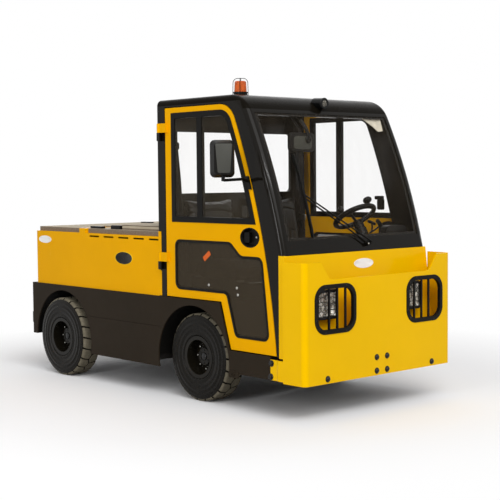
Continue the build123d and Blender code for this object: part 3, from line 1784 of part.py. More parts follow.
def make_roof_lamp():
    """Round spot lamp in the middle of the roof's front edge."""
    lip = crown_point(screen_edge, lip_angle())
    lamp_z = roof_top - roof_lamp_radius - 5
    with BuildPart() as lamp:
        tube((lip[0] - 60, 0, lamp_z), (lip[0] + 26, 0, lamp_z - 4), roof_lamp_radius)
        with BuildSketch(Plane.XZ):
            with BuildLine():
                crown_top = draw_crown(screen_edge, screen_edge.lean, -seat_gap)[1]
                start = crown_point(screen_edge, screen_edge.lean, -seat_gap)
                Polyline(crown_top, (mullion_x, crown_top[1]), (mullion_x, start[1]), start)
            make_face()
        extrude(amount=100, both=True, mode=Mode.SUBTRACT)
        fillet(lamp.edges().sort_by(Axis.X)[-1], 4)
    return finish(lamp, "roof_lamp")


def make_rear_lamps():
    """Upright rear lamp clusters on the tail plate."""
    with BuildPart() as lamps:
        back = skirt_rear - seat_gap
        block(
            (back - 34, back),
            (-rear_lamp_y - rear_lamp_width / 2, -rear_lamp_y + rear_lamp_width / 2),
            (rear_lamp_z - rear_lamp_height / 2, rear_lamp_z + rear_lamp_height / 2),
        )
        fillet(lamps.faces().sort_by(Axis.X)[0].edges(), 10)
        mirror(about=Plane.XZ)
    return finish(lamps, "rear_lamps")


make_skirts()
make_arch_liners()
make_chassis()
make_bumper_beam()
make_battery()
make_rear_body()
make_deck()
make_front_plate()
make_lamp_guards()
make_cowl()
make_headlamps()
cab_form = make_cab_form()
make_cab_frame(cab_form)
make_windscreen()
make_roof(cab_form)
make_rear_wall()
make_cab_floor()
make_door()
make_hinge_posts()
make_door_trim()
make_door_glass()
make_rim(front_axle_x, front_wheel_face, front_spindle_radius, "front")
make_rim(rear_axle_x, rear_wheel_face, rear_spindle_radius, "rear")
make_tyre(front_axle_x, front_wheel_face, "front")
make_tyre(rear_axle_x, rear_wheel_face, "rear")
make_front_axle()
make_knuckles()
make_drive_axle()
make_hitch()
make_seats()
make_steering()
make_dashboard()
make_pedals()
make_mirrors()
make_interior_mirror()
make_wiper()
make_beacon()
make_roof_lamp()
make_rear_lamps()
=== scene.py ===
"""Looks of an electric tow tractor for airport baggage carts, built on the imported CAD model.

Metres. X points forward, Y to the vehicle's left and Z up, with the origin on the ground.
"""

import math

import bmesh
import bpy
from mathutils import Matrix, Vector
from mathutils.bvhtree import BVHTree


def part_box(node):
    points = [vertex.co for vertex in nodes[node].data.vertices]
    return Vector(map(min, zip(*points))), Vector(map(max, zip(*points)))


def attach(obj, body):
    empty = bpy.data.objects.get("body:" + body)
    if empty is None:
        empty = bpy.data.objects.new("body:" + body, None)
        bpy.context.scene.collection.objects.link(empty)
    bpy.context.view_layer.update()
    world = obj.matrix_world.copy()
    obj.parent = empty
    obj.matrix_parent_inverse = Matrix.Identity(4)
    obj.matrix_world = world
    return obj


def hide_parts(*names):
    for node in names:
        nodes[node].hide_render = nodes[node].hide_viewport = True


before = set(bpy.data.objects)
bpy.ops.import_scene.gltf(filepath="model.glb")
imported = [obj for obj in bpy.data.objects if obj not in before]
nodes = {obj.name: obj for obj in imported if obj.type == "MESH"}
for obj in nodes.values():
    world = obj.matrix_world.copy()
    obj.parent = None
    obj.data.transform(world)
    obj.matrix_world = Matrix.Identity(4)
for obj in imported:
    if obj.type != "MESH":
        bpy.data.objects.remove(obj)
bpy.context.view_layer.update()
scene = bpy.context.scene

SIDES = (("right", -1), ("left", 1))
FRONT_AXLE_X, REAR_AXLE_X, WHEEL_Z = 0.525, -0.995, 0.289
WHEEL_BODIES = {
    ("front", "right"): "wheel_fr",
    ("front", "left"): "wheel_fl",
    ("rear", "right"): "wheel_rr",
    ("rear", "left"): "wheel_rl",
}
AXLES = (("front", FRONT_AXLE_X, 0.628), ("rear", REAR_AXLE_X, 0.690))
TYRE_WIDTH, TYRE_RADIUS = 0.165, 0.289
TREAD_BLOCKS, TREAD_DEPTH, TREAD_GROOVE, TREAD_ZIGZAG = 22, 0.013, 0.009, 0.011
TREAD_CHAMFER = 0.0014
SEAT_Y = 0.305
KNOB_TURN = 8


# Materials


class Nodes:
    """A material's node tree, with short ways to add to it."""

    def __init__(self, name):
        self.material = bpy.data.materials.new(name)
        self.material.use_nodes = True
        self.tree = self.material.node_tree
        self.shader = self.tree.nodes["Principled BSDF"]
        self.place = self.add("ShaderNodeTexCoord").outputs["Object"]

    def add(self, kind, **values):
        node = self.tree.nodes.new(kind)
        for key, value in values.items():
            setattr(node, key, value)
        return node

    def link(self, source, target):
        self.tree.links.new(source, target)

    def feed(self, socket, value):
        """Sets a socket to a number or colour, or links another node's output to it."""
        if isinstance(value, (int, float)):
            socket.default_value = value
        elif isinstance(value, tuple):
            socket.default_value = (*value, 1)
        else:
            self.link(value, socket)

    def scaled(self, scale):
        node = self.add("ShaderNodeMapping")
        node.inputs["Scale"].default_value = scale
        self.link(self.place, node.inputs["Vector"])
        return node.outputs["Vector"]

    def axes(self, place=None):
        """X, Y and Z of a place."""
        node = self.add("ShaderNodeSeparateXYZ")
        self.link(place or self.place, node.inputs[0])
        return node.outputs

    def noise(self, scale, detail=3, rough=0.55, place=None):
        node = self.add("ShaderNodeTexNoise")
        node.inputs["Scale"].default_value = scale
        node.inputs["Detail"].default_value = detail
        node.inputs["Roughness"].default_value = rough
        self.link(place or self.place, node.inputs["Vector"])
        return node.outputs["Fac"]

    def ramp(self, value, stops, constant=False):
        node = self.add("ShaderNodeValToRGB")
        ramp = node.color_ramp
        if constant:
            ramp.interpolation = "CONSTANT"
        while len(ramp.elements) < len(stops):
            ramp.elements.new(0.5)
        for element, (at, colour) in zip(ramp.elements, stops):
            element.position = at
            element.color = (*colour, 1) if len(colour) == 3 else colour
        self.link(value, node.inputs["Fac"])
        return node.outputs["Color"]

    def span(self, value, low, high, to_low, to_high):
        node = self.add("ShaderNodeMapRange")
        for key, number in (("From Min", low), ("From Max", high), ("To Min", to_low), ("To Max", to_high)):
            node.inputs[key].default_value = number
        self.link(value, node.inputs["Value"])
        return node.outputs["Result"]

    def maths(self, kind, a, b=None):
        node = self.add("ShaderNodeMath", operation=kind)
        for socket, value in zip(node.inputs, (a, b)):
            if value is not None:
                self.feed(socket, value)
        return node.outputs["Value"]

    def mix(self, factor, a, b):
        node = self.add("ShaderNodeMix", data_type="RGBA")
        for socket, value in zip((node.inputs[0], node.inputs[6], node.inputs[7]), (factor, a, b)):
            self.feed(socket, value)
        return node.outputs[2]

    def bump(self, height, strength, distance=0.001):
        node = self.add("ShaderNodeBump")
        node.inputs["Strength"].default_value = strength
        node.inputs["Distance"].default_value = distance
        self.link(height, node.inputs["Height"])
        self.link(node.outputs["Normal"], self.shader.inputs["Normal"])
        return node

    def put(self, **values):
        for key, value in values.items():
            self.feed(self.shader.inputs[key.replace("_", " ")], value)


def shade(colour, factor):
    """A colour made lighter or darker."""
    return tuple(min(1.0, c * factor) for c in colour)


def surface(
    name, colour, rough, spread=0.06, grain=220, depth=0.08, gloss=0.3, metal=0.0, patch=2.2, tint=None
):
    """A painted, moulded or cast surface: slow patches, fine grain and uneven gloss."""
    n = Nodes(name)
    slow = n.noise(patch, 4, 0.6)
    fine = n.noise(grain, 3, 0.6)
    n.put(
        Base_Color=n.ramp(slow, ((0.3, shade(colour, 1 - spread)), (0.7, shade(colour, 1 + spread)))),
        Roughness=n.span(n.noise(patch * 6, 5, 0.65), 0.3, 0.7, max(0.02, rough - 0.05), rough + 0.06),
        Metallic=metal,
        Specular_IOR_Level=gloss,
    )
    if tint:
        n.put(Specular_Tint=tint)
    n.bump(fine, depth)
    return n.material


def make_glass(name, colour, alpha, rough=0.02, gloss=0.5):
    """Thin glazing: mostly see-through, with faint streaks of dust in its gloss."""
    n = Nodes(name)
    streaks = n.noise(14, 4, 0.7, n.scaled((1, 1, 0.25)))
    n.put(
        Base_Color=n.ramp(n.noise(3), ((0.35, shade(colour, 0.94)), (0.65, colour))),
        Roughness=n.span(streaks, 0.35, 0.75, rough, rough + 0.05),
        Alpha=n.span(streaks, 0.3, 0.8, alpha - 0.01, alpha + 0.015),
        Specular_IOR_Level=gloss,
    )
    return n.material


def make_door_glass():
    """Clear glass in the sliding window, and dark brown glass below it."""
    n = Nodes("door_glass")
    level = n.axes()[2]
    upper = n.span(level, 1.12, 1.13, 0, 1)
    streaks = n.noise(14, 4, 0.7, n.scaled((1, 1, 0.25)))
    clear = n.span(streaks, 0.3, 0.8, 0.022, 0.034)
    dark = n.span(streaks, 0.3, 0.8, 0.60, 0.66)
    alpha = n.add("ShaderNodeMix", data_type="FLOAT")
    n.link(upper, alpha.inputs[0])
    n.link(dark, alpha.inputs[2])
    n.link(clear, alpha.inputs[3])
    n.put(
        Base_Color=n.mix(upper, (0.060, 0.046, 0.029), (0.62, 0.52, 0.38)),
        Roughness=n.span(streaks, 0.35, 0.75, 0.03, 0.08),
        Alpha=alpha.outputs[0],
        Specular_IOR_Level=0.05,
    )
    return n.material


def make_crystal(name, light=1.0):
    """A moulded reflector with painted reflection: its bright and dark pillow-shaped cells stand in for what the
    facets reflect, and painted shade darkens the lines between them. The light argument scales the painted
    reflection.
    """
    n = Nodes(name)
    cells = n.add("ShaderNodeTexVoronoi", feature="DISTANCE_TO_EDGE")
    cells.inputs["Scale"].default_value = 34
    cells.inputs["Randomness"].default_value = 0.75
    n.link(n.place, cells.inputs["Vector"])
    # Painted shade: the lines between the cells are painted dark.
    edge = n.span(cells.outputs["Distance"], 0.02, 0.16, 0, 1)
    # Painted reflection: the cells' random light and dark tones stand in for reflections.
    reflection_noise = n.noise(26, 3, 0.7)
    painted_reflection_stops = ((0.36, (0.10, 0.085, 0.06)), (0.5, (0.55, 0.51, 0.42)), (0.64, (0.92, 0.90, 0.84)))
    face = n.ramp(reflection_noise, [(at, shade(colour, light)) for at, colour in painted_reflection_stops])
    n.put(
        Base_Color=n.mix(edge, (0.035, 0.028, 0.018), face),
        Roughness=n.span(reflection_noise, 0.3, 0.7, 0.10, 0.22),
        Metallic=0.45,
    )
    n.bump(cells.outputs["Distance"], 0.9, 0.006)
    return n.material


def make_rubber():
    """Black tyre rubber, with a soft sheen on its rings."""
    n = Nodes("tyre_rubber")
    dust = n.noise(30, 5, 0.7)
    n.put(
        Base_Color=n.ramp(dust, ((0.3, (0.0045, 0.0038, 0.0028)), (0.75, (0.010, 0.0085, 0.0062)))),
        Roughness=n.span(n.noise(60, 4), 0.3, 0.7, 0.22, 0.36),
        Specular_IOR_Level=0.09,
    )
    n.bump(n.noise(500, 3), 0.12, 0.0006)
    return n.material


def make_tread():
    """Worn faces of the tread blocks: grey-brown, scuffed along the way they roll."""
    n = Nodes("tyre_tread")
    scuff = n.noise(70, 6, 0.75)
    grit = n.noise(900, 3, 0.7)
    n.put(
        Base_Color=n.ramp(scuff, ((0.3, (0.110, 0.096, 0.068)), (0.7, (0.190, 0.168, 0.122)))),
        Roughness=n.span(grit, 0.3, 0.7, 0.72, 0.9),
        Specular_IOR_Level=0.05,
    )
    n.bump(n.maths("ADD", scuff, n.maths("MULTIPLY", grit, 0.5)), 0.35, 0.0008)
    return n.material


def make_board():
    """Plywood with a pale, slightly streaked face and dark layered edges, and a band of painted shade along the
    top of the raised lid's sides, under its lip.
    """
    n = Nodes("deck_board")
    facing = n.axes(n.add("ShaderNodeNewGeometry").outputs["Normal"])
    top = n.span(facing[2], 0.6, 0.9, 0, 1)
    streaks = n.noise(6, 6, 0.65, n.scaled((1, 9, 1)))
    face = n.ramp(streaks, ((0.3, (0.40, 0.34, 0.245)), (0.7, (0.52, 0.45, 0.34))))
    level = n.axes()[2]
    layers = n.maths("SINE", n.maths("MULTIPLY", level, 2400))
    grain = n.noise(160, 3, 0.6)
    mixed = n.maths("ADD", n.maths("MULTIPLY", layers, 0.25), grain)
    edge = n.ramp(mixed, ((0.25, (0.115, 0.088, 0.062)), (0.75, (0.30, 0.245, 0.185))))
    raised = n.span(level, 1.1135, 1.1145, 0, 1)
    # Painted shade: the top of the raised lid's sides is painted dark brown, as the shade under its lip.
    lip_shade_band = n.span(level, 1.1295, 1.1305, 0, 1)
    side = n.mix(lip_shade_band, n.mix(raised, edge, face), (0.062, 0.040, 0.022))
    n.put(
        Base_Color=n.mix(top, side, face),
        Roughness=n.span(streaks, 0.3, 0.7, 0.6, 0.78),
        Specular_IOR_Level=0.08,
    )
    n.bump(streaks, 0.15)
    return n.material


def make_leather():
    """Black seat leather: fine pebble grain, creases and a dull sheen."""
    n = Nodes("seat_leather")
    cells = n.add("ShaderNodeTexVoronoi")
    cells.inputs["Scale"].default_value = 520
    n.link(n.place, cells.inputs["Vector"])
    crease = n.noise(16, 5, 0.6)
    n.put(
        Base_Color=n.ramp(crease, ((0.3, (0.006, 0.0054, 0.0042)), (0.7, (0.014, 0.0125, 0.0100)))),
        Roughness=n.span(crease, 0.3, 0.7, 0.28, 0.42),
        Specular_IOR_Level=0.22,
    )
    height = n.maths(
        "ADD", n.maths("MULTIPLY", cells.outputs["Distance"], 0.5), n.maths("MULTIPLY", crease, 1.6),
    )
    n.bump(height, 0.5, 0.0012)
    return n.material


def make_rear_lens():
    """Three moulded fields of a lamp cluster, with fine upright ribs."""
    n = Nodes("rear_lamp_lens")
    place = n.axes()
    fields = ((0.0, (0.50, 0.010, 0.006)), (0.36, (0.80, 0.18, 0.006)), (0.66, (0.42, 0.008, 0.005)))
    level = n.span(place[2], 0.40, 0.61, 0, 1)
    ribs = n.maths("SINE", n.maths("MULTIPLY", place[1], 900))
    n.put(
        Base_Color=n.ramp(level, fields, constant=True),
        Roughness=n.span(n.noise(90), 0.3, 0.7, 0.14, 0.22),
        Specular_IOR_Level=0.5,
    )
    n.bump(ribs, 0.4, 0.0008)
    return n.material


def make_webbing():
    """Woven belt webbing with a fine twill."""
    n = Nodes("belt_webbing")
    place = n.axes()
    across = n.maths("SINE", n.maths("MULTIPLY", n.maths("ADD", place[0], place[2]), 2600))
    along = n.maths("SINE", n.maths("MULTIPLY", n.maths("SUBTRACT", place[2], place[1]), 2600))
    n.put(
        Base_Color=n.ramp(n.noise(40), ((0.3, (0.010, 0.010, 0.009)), (0.7, (0.020, 0.019, 0.018)))),
        Roughness=n.span(n.noise(300), 0.3, 0.7, 0.6, 0.75),
        Specular_IOR_Level=0.2,
    )
    n.bump(n.maths("MULTIPLY", across, along), 0.5, 0.0006)
    return n.material


GLOSS_TINT = (1.0, 0.78, 0.12)
paint_yellow = surface("yellow_paint", (0.84, 0.400, 0.0), 0.22, 0.03, 420, 0.015, 0.04, tint=GLOSS_TINT)
# Painted light: a brighter, greener copy of the body yellow for the front plate, cowl and plate plugs, standing
# in for the stronger light on the front and offsetting the shade on the cowl behind the plate.
paint_yellow_lit = surface("front_yellow_paint_lit", (0.86, 0.495, 0.0), 0.20, 0.03, 420, 0.015, 0.14, tint=GLOSS_TINT)
paint_dark = surface("dark_paint", (0.0235, 0.0172, 0.0112), 0.48, 0.10, 300, 0.08, 0.04)
paint_frame = surface("black_frame_paint", (0.0062, 0.0050, 0.0034), 0.13, 0.12, 500, 0.01, 0.12)
paint_roof = surface("roof_paint", (0.0066, 0.0053, 0.0036), 0.24, 0.12, 500, 0.01, 0.02)
paint_rim = surface("rim_paint", (0.0075, 0.0062, 0.0040), 0.22, 0.2, 260, 0.06, 0.14)
chassis_grey = surface("grey_chassis_paint", (0.010, 0.009, 0.008), 0.6, 0.2, 200, 0.15, 0.08)
plastic_black = surface("black_plastic", (0.0055, 0.0050, 0.0042), 0.36, 0.1, 900, 0.15, 0.10)
plastic_grey = surface("grey_plastic", (0.066, 0.066, 0.058), 0.5, 0.08, 800, 0.15, 0.10)
rubber_black = surface("black_rubber", (0.0050, 0.0046, 0.0040), 0.42, 0.15, 600, 0.10, 0.08)
cast_black = surface("cast_steel", (0.014, 0.013, 0.012), 0.55, 0.25, 160, 0.35, 0.15)
zinc = surface("zinc_steel", (0.42, 0.41, 0.38), 0.30, 0.12, 350, 0.08, metal=1.0)
chrome = surface("chrome", (0.80, 0.80, 0.79), 0.07, 0.03, 200, 0.02, metal=1.0)
bolt_black = surface("bolt_black", (0.004, 0.004, 0.004), 0.16, 0.2, 500, 0.05, 0.30)
battery_case = surface("battery_block", (0.02, 0.02, 0.021), 0.6, 0.15, 300, 0.2, 0.15)
amber = surface("amber_lens", (0.80, 0.16, 0.004), 0.14, 0.1, 200, 0.06, 0.3)
orange_tag = surface("orange_tag", (0.62, 0.115, 0.020), 0.35, 0.15, 400, 0.08, 0.1)
beacon_red = surface(
    "beacon_lens", (0.62, 0.100, 0.004), 0.12, 0.3, 120, 0.05, 0.10, patch=24, tint=(1.0, 0.5, 0.2),
)
lamp_black = surface("lamp_body", (0.0045, 0.0045, 0.0042), 0.25, 0.1, 500, 0.04, 0.15)
plate_white = surface("blank_plate", (0.88, 0.88, 0.86), 0.35, 0.03, 300, 0.02, 0.1)
cream = surface("visor_board", (0.72, 0.66, 0.53), 0.6, 0.16, 500, 0.12, 0.1, patch=26)
mirror_back = surface("mirror_back", (0.052, 0.052, 0.042), 0.45, 0.08, 800, 0.10, 0.10)
liner_beige = surface("headliner", (0.036, 0.029, 0.021), 0.8, 0.08, 900, 0.3, 0.05)
yellow_line = surface("oval_border", (0.90, 0.60, 0.01), 0.35, 0.03, 300, 0.02, 0.1)
mirror_glass = surface("mirror_glass", (0.72, 0.74, 0.75), 0.03, 0.02, 60, 0.01, metal=1.0)
glass_clear = make_glass("cab_glass", (0.34, 0.28, 0.21), 0.018, gloss=0.12)
lens_clear = make_glass("lamp_glass", (0.60, 0.58, 0.52), 0.05, gloss=0.3)
clear_dome = make_glass("clear_dome", (0.75, 0.75, 0.75), 0.035, gloss=0.5)
# Both crystals carry painted reflection; the roof lamp's copy paints a dimmer reflection.
crystal = make_crystal("crystal_reflector")
crystal_dim = make_crystal("roof_lamp_crystal", 0.35)
door_glass = make_door_glass()
rubber = make_rubber()
tread = make_tread()
board = make_board()
leather = make_leather()
rear_lens = make_rear_lens()
webbing = make_webbing()

PAINTED = (
    (paint_yellow, "rear_body"),
    # The front plate and cowl take the brighter copy of the yellow, which is painted light.
    (paint_yellow_lit, "front_plate cowl"),
    (paint_dark, "skirts"),
    (paint_frame, "cab_frame rear_wall hinge_posts mirror_bracket_left"),
    (paint_roof, "roof"),
    (chassis_grey, "chassis_frame bumper_beam"),
    (battery_case, "battery"),
    (board, "rear_lid front_lid"),
    (rubber_black, "arch_liners lamp_guards cab_floor pedals"),
    (plastic_black, "lid_grips seat_bases steering_column steering_wheel dashboard"),
    (plastic_black, "mirror_right interior_mirror wiper beacon_base"),
    (cast_black, "front_axle drive_axle tow_jaw"),
    (zinc, "tie_rod hitch_pin"),
    (glass_clear, "windscreen rear_window"),
    (lens_clear, "headlamp_lenses"),
    (lamp_black, "headlamps roof_lamp"),
    (beacon_red, "beacon_lens"),
    (rear_lens, "rear_lamps"),
    (leather, "seat_pads"),
)
PAINT = {name: material for material, names in PAINTED for name in names.split()}
for side, _ in SIDES:
    PAINT[f"door_{side}"] = paint_yellow
    PAINT[f"door_trim_{side}"] = rubber_black
    PAINT[f"door_glass_{side}"] = door_glass
    PAINT[f"knuckle_{side}"] = cast_black
    for axle, _, _ in AXLES:
        PAINT[f"rim_{axle}_{side}"] = paint_rim
        PAINT[f"tyre_{axle}_{side}"] = rubber

for name, node in nodes.items():
    node.data.materials.clear()
    node.data.materials.append(PAINT[name])


# Ways to make pieces


def add_piece(name, bm, materials, body="body", sharp=35):
    """Puts a finished mesh in the scene on a body, smooth up to an angle.
    """
    mesh = bpy.data.meshes.new(name)
    bmesh.ops.recalc_face_normals(bm, faces=bm.faces)
    bm.to_mesh(mesh)
    bm.free()
    piece = bpy.data.objects.new(name, mesh)
    scene.collection.objects.link(piece)
    for material in materials if isinstance(materials, (list, tuple)) else (materials,):
        mesh.materials.append(material)
    for face in mesh.polygons:
        face.use_smooth = True
    mesh.set_sharp_from_angle(angle=math.radians(sharp))
    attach(piece, body)
    return piece


def frame_at(place, normal, up=(0, 0, 1)):
    """A matrix whose Z axis is the normal and whose Y axis is near up, at a place."""
    z = Vector(normal).normalized()
    if abs(z.dot(Vector(up))) > 0.99:
        up = (1, 0, 0)
    x = Vector(up).cross(z).normalized()
    matrix = Matrix((x, z.cross(x), z)).transposed().to_4x4()
    matrix.translation = Vector(place)
    return matrix


def join_rings(bm, rings, closed=True, index=0):
    """Faces between rings of vertices, each ring next to the one before."""
    for low, high in zip(rings, rings[1:]):
        count = len(low)
        for step in range(count if closed else count - 1):
            nxt = (step + 1) % count
            face = bm.faces.new((low[step], low[nxt], high[nxt], high[step]))
            face.material_index = index


def add_turned(bm, matrix, profile, sides=32, squeeze=1.0, index=0, caps=True):
    """A turned or oval form: a profile of radius and height about a matrix's Z axis."""
    rings = []
    for radius, level in profile:
        ring = []
        for step in range(sides):
            turn = 2 * math.pi * step / sides
            point = Vector((radius * math.cos(turn), radius * squeeze * math.sin(turn), level))
            ring.append(bm.verts.new(matrix @ point))
        rings.append(ring)
    join_rings(bm, rings, index=index)
    if caps:
        for ring in (rings[0], rings[-1]):
            bm.faces.new(ring).material_index = index


def rounded_outline(width, height, radius, steps=6):
    """The corners of a rounded rectangle, from its right side round."""
    points = []
    for quarter in range(4):
        across = (1, -1, -1, 1)[quarter] * (width / 2 - radius)
        up = (1, 1, -1, -1)[quarter] * (height / 2 - radius)
        for step in range(steps + 1):
            turn = math.radians(90 * (quarter + step / steps))
            points.append((across + radius * math.cos(turn), up + radius * math.sin(turn)))
    return points


def add_slab(bm, matrix, outline, levels, index=0):
    """A slab on a matrix's plane: its outline at each level, drawn in by an inset."""
    rings = []
    for inset, level in levels:
        ring = []
        for x, y in outline:
            reach = math.hypot(x, y)
            keep = max(0.0, reach - inset) / reach
            ring.append(bm.verts.new(matrix @ Vector((x * keep, y * keep, level))))
        rings.append(ring)
    join_rings(bm, rings, index=index)
    for ring in (rings[0], rings[-1]):
        bm.faces.new(ring).material_index = index


def add_wire(name, points, radius, material, body="body", smooth=True, cyclic=False):
    """A round rod, cord of piping or moulded arm along a curve."""
    curve = bpy.data.curves.new(name, "CURVE")
    curve.dimensions = "3D"
    curve.bevel_depth = radius
    curve.bevel_resolution = 4
    curve.use_fill_caps = not cyclic
    spline = curve.splines.new("NURBS" if smooth else "POLY")
    spline.points.add(len(points) - 1)
    for point, place in zip(spline.points, points):
        point.co = (*place, 1)
    spline.use_cyclic_u = cyclic
    if smooth:
        spline.order_u = 3
        spline.use_endpoint_u = not cyclic
    piece = bpy.data.objects.new(name, curve)
    scene.collection.objects.link(piece)
    curve.materials.append(material)
    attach(piece, body)
    return piece


def add_plate(bm, place, normal, size, levels, index=0, up=(0, 0, 1)):
    """A rounded plate or block that faces along a normal; its size is width, height and radius."""
    add_slab(bm, frame_at(place, normal, up), rounded_outline(*size), levels, index)


def add_strap(bm, points, across, width, thick):
    """A flat band along points, its width along one direction, with rounded edges."""
    side = Vector(across).normalized()
    places = [Vector(p) for p in points]
    rings = []
    for index, place in enumerate(places):
        way = places[min(index + 1, len(places) - 1)] - places[max(index - 1, 0)]
        face = way.cross(side).normalized()
        ring = []
        for u, v in ((-1, -0.5), (-1, 0.5), (-0.94, 1), (0.94, 1), (1, 0.5), (1, -0.5), (0.94, -1), (-0.94, -1)):
            ring.append(bm.verts.new(place + side * u * width / 2 + face * v * thick / 2))
        rings.append(ring)
    join_rings(bm, rings)
    bm.faces.new(rings[0])
    bm.faces.new(rings[-1])


def dome(radius, height, flat=0.0):
    """The profile of a domed head, from its seat to its top."""
    steps = [(radius, 0.0), (radius, flat)]
    for step in range(1, 6):
        turn = math.radians(18 * step)
        steps.append((radius * math.cos(turn) + 1e-5, flat + (height - flat) * math.sin(turn)))
    return steps


# Wheels


def side_height(radius):
    """How far a tyre's sidewall lies inside its full width, at a radius."""
    outline = ((0.1403, 0.0103), (0.1483, 0.003), (0.2185, 0.0), (0.271, 0.005), (0.276, 0.0086))
    for (r0, h0), (r1, h1) in zip(outline, outline[1:]):
        if radius <= r1:
            return h0 + (h1 - h0) * (radius - r0) / (r1 - r0)
    return outline[-1][1]


def side_ring(radius):
    """Moulded rings of the sidewall, as a height above it."""
    rings = ((0.152, 0.005, 2.0), (0.170, 0.004, -1.4), (0.190, 0.006, 1.3))
    rings += ((0.218, 0.005, 1.6), (0.234, 0.003, -1.6), (0.250, 0.004, 1.6))
    return sum(height * math.exp(-(((radius - at) / width) ** 2)) for at, width, height in rings) / 1000


def carcass_profile():
    """Across and radius of the tyre's body, from the outer bead over to the inner one."""
    half = TYRE_WIDTH / 2
    steps = 44
    points = [(half - 0.0103, 0.125)]
    for step in range(steps + 1):
        radius = 0.1403 + (0.276 - 0.1403) * step / steps
        points.append((half - side_height(radius) + side_ring(radius), radius))
    return points + [(-across, radius) for across, radius in reversed(points)]


def add_carcass(bm, centre, segments=112):
    """The tyre's body below its tread, as one closed turned ring."""
    rings = []
    for step in range(segments):
        turn = 2 * math.pi * step / segments
        ring = []
        for across, radius in carcass_profile():
            place = (radius * math.cos(turn), across, radius * math.sin(turn))
            ring.append(bm.verts.new(centre + Vector(place)))
        rings.append(ring)
    join_rings(bm, rings + rings[:1])


def block_rows():
    """Rows across one tread block: its place from the middle, its level and if it is a wall."""
    edge = TYRE_WIDTH / 2 - 0.018
    foot = TYRE_WIDTH / 2 - 0.0086
    apex = -TREAD_ZIGZAG + 0.0085
    rows = [
        (apex, -TREAD_DEPTH - 0.001, True), (apex, -TREAD_CHAMFER, True), (apex + TREAD_CHAMFER, 0, False),
    ]
    for step in range(1, 5):
        rows.append((apex + (TREAD_ZIGZAG - apex) * step / 4, 0, False))
    for step in range(1, 5):
        rows.append((TREAD_ZIGZAG + (edge - 0.002 - TREAD_ZIGZAG) * step / 4, 0, False))
    rows += [(edge, -0.0010, False), (edge + 0.0045, -0.0062, False), (foot, -TREAD_DEPTH, False)]
    rows.append((foot - 0.001, -TREAD_DEPTH - 0.002, True))
    return rows


def block_span(across):
    """Where a block starts and ends round the tyre at a place across it, as lengths."""
    step = math.pi / TREAD_BLOCKS * TYRE_RADIUS
    slope = (step / 2) / (TYRE_WIDTH / 2 - TREAD_ZIGZAG)
    tilt = math.hypot(1, slope)
    start = (across - TREAD_ZIGZAG) * slope
    end = start + 2 * step
    wider = max(0.0, across - 0.040) * 0.06
    inset = TREAD_GROOVE / 2 * tilt + wider
    if across < TREAD_ZIGZAG:
        lean = step / (2 * TREAD_ZIGZAG)
        start = (TREAD_ZIGZAG - across) * lean
        end = 2 * step - start
        inset = TREAD_GROOVE / 2 * math.hypot(1, lean)
    return start + inset, end - inset


def add_blocks(bm, centre, side, base):
    """One row of tread blocks, from its zigzag edge down over the shoulder."""
    for block in range(TREAD_BLOCKS):
        first = 2 * math.pi * block / TREAD_BLOCKS + base
        rings = []
        walls = []
        for across, level, wall in block_rows():
            start, end = block_span(across)
            middle = (start + end) / 2
            start, end = min(start, middle - 0.001), max(end, middle + 0.001)
            lean = min(TREAD_CHAMFER, (end - start) / 4)
            columns = [(start, None), (start, -TREAD_CHAMFER), (start + lean, 0)]
            columns += [(start + lean + (end - start - 2 * lean) * k / 4, 0) for k in (1, 2, 3)]
            columns += [(end - lean, 0), (end, -TREAD_CHAMFER), (end, None)]
            ring = []
            for length, drop in columns:
                low = -TREAD_DEPTH - 0.001
                height = min(level, low) if drop is None else min(level, level + drop)
                radius = TYRE_RADIUS + height
                turn = first + length / TYRE_RADIUS
                place = (radius * math.cos(turn), side * across, radius * math.sin(turn))
                ring.append(bm.verts.new(centre + Vector(place)))
            rings.append(ring)
            walls.append(wall)
        for row, (low, high) in enumerate(zip(rings, rings[1:])):
            for k in range(len(low) - 1):
                face = bm.faces.new((low[k], low[k + 1], high[k + 1], high[k]))
                outer = 1 <= k <= 6 and not (walls[row] and walls[row + 1])
                face.material_index = 1 if outer else 0


def add_tyre(axle, axle_x, face, side, way):
    """A tyre with moulded sidewalls and two rows of arrow-shaped blocks."""
    bm = bmesh.new()
    centre = Vector((axle_x, way * (face - TYRE_WIDTH / 2), WHEEL_Z))
    add_carcass(bm, centre)
    step = math.pi / TREAD_BLOCKS
    add_blocks(bm, centre, 1, math.pi / 2)
    add_blocks(bm, centre, -1, math.pi / 2 + step)
    name = f"tyre_detail_{axle}_{side}"
    piece = add_piece(name, bm, [rubber, tread], WHEEL_BODIES[axle, side], sharp=32)
    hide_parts(f"tyre_{axle}_{side}")


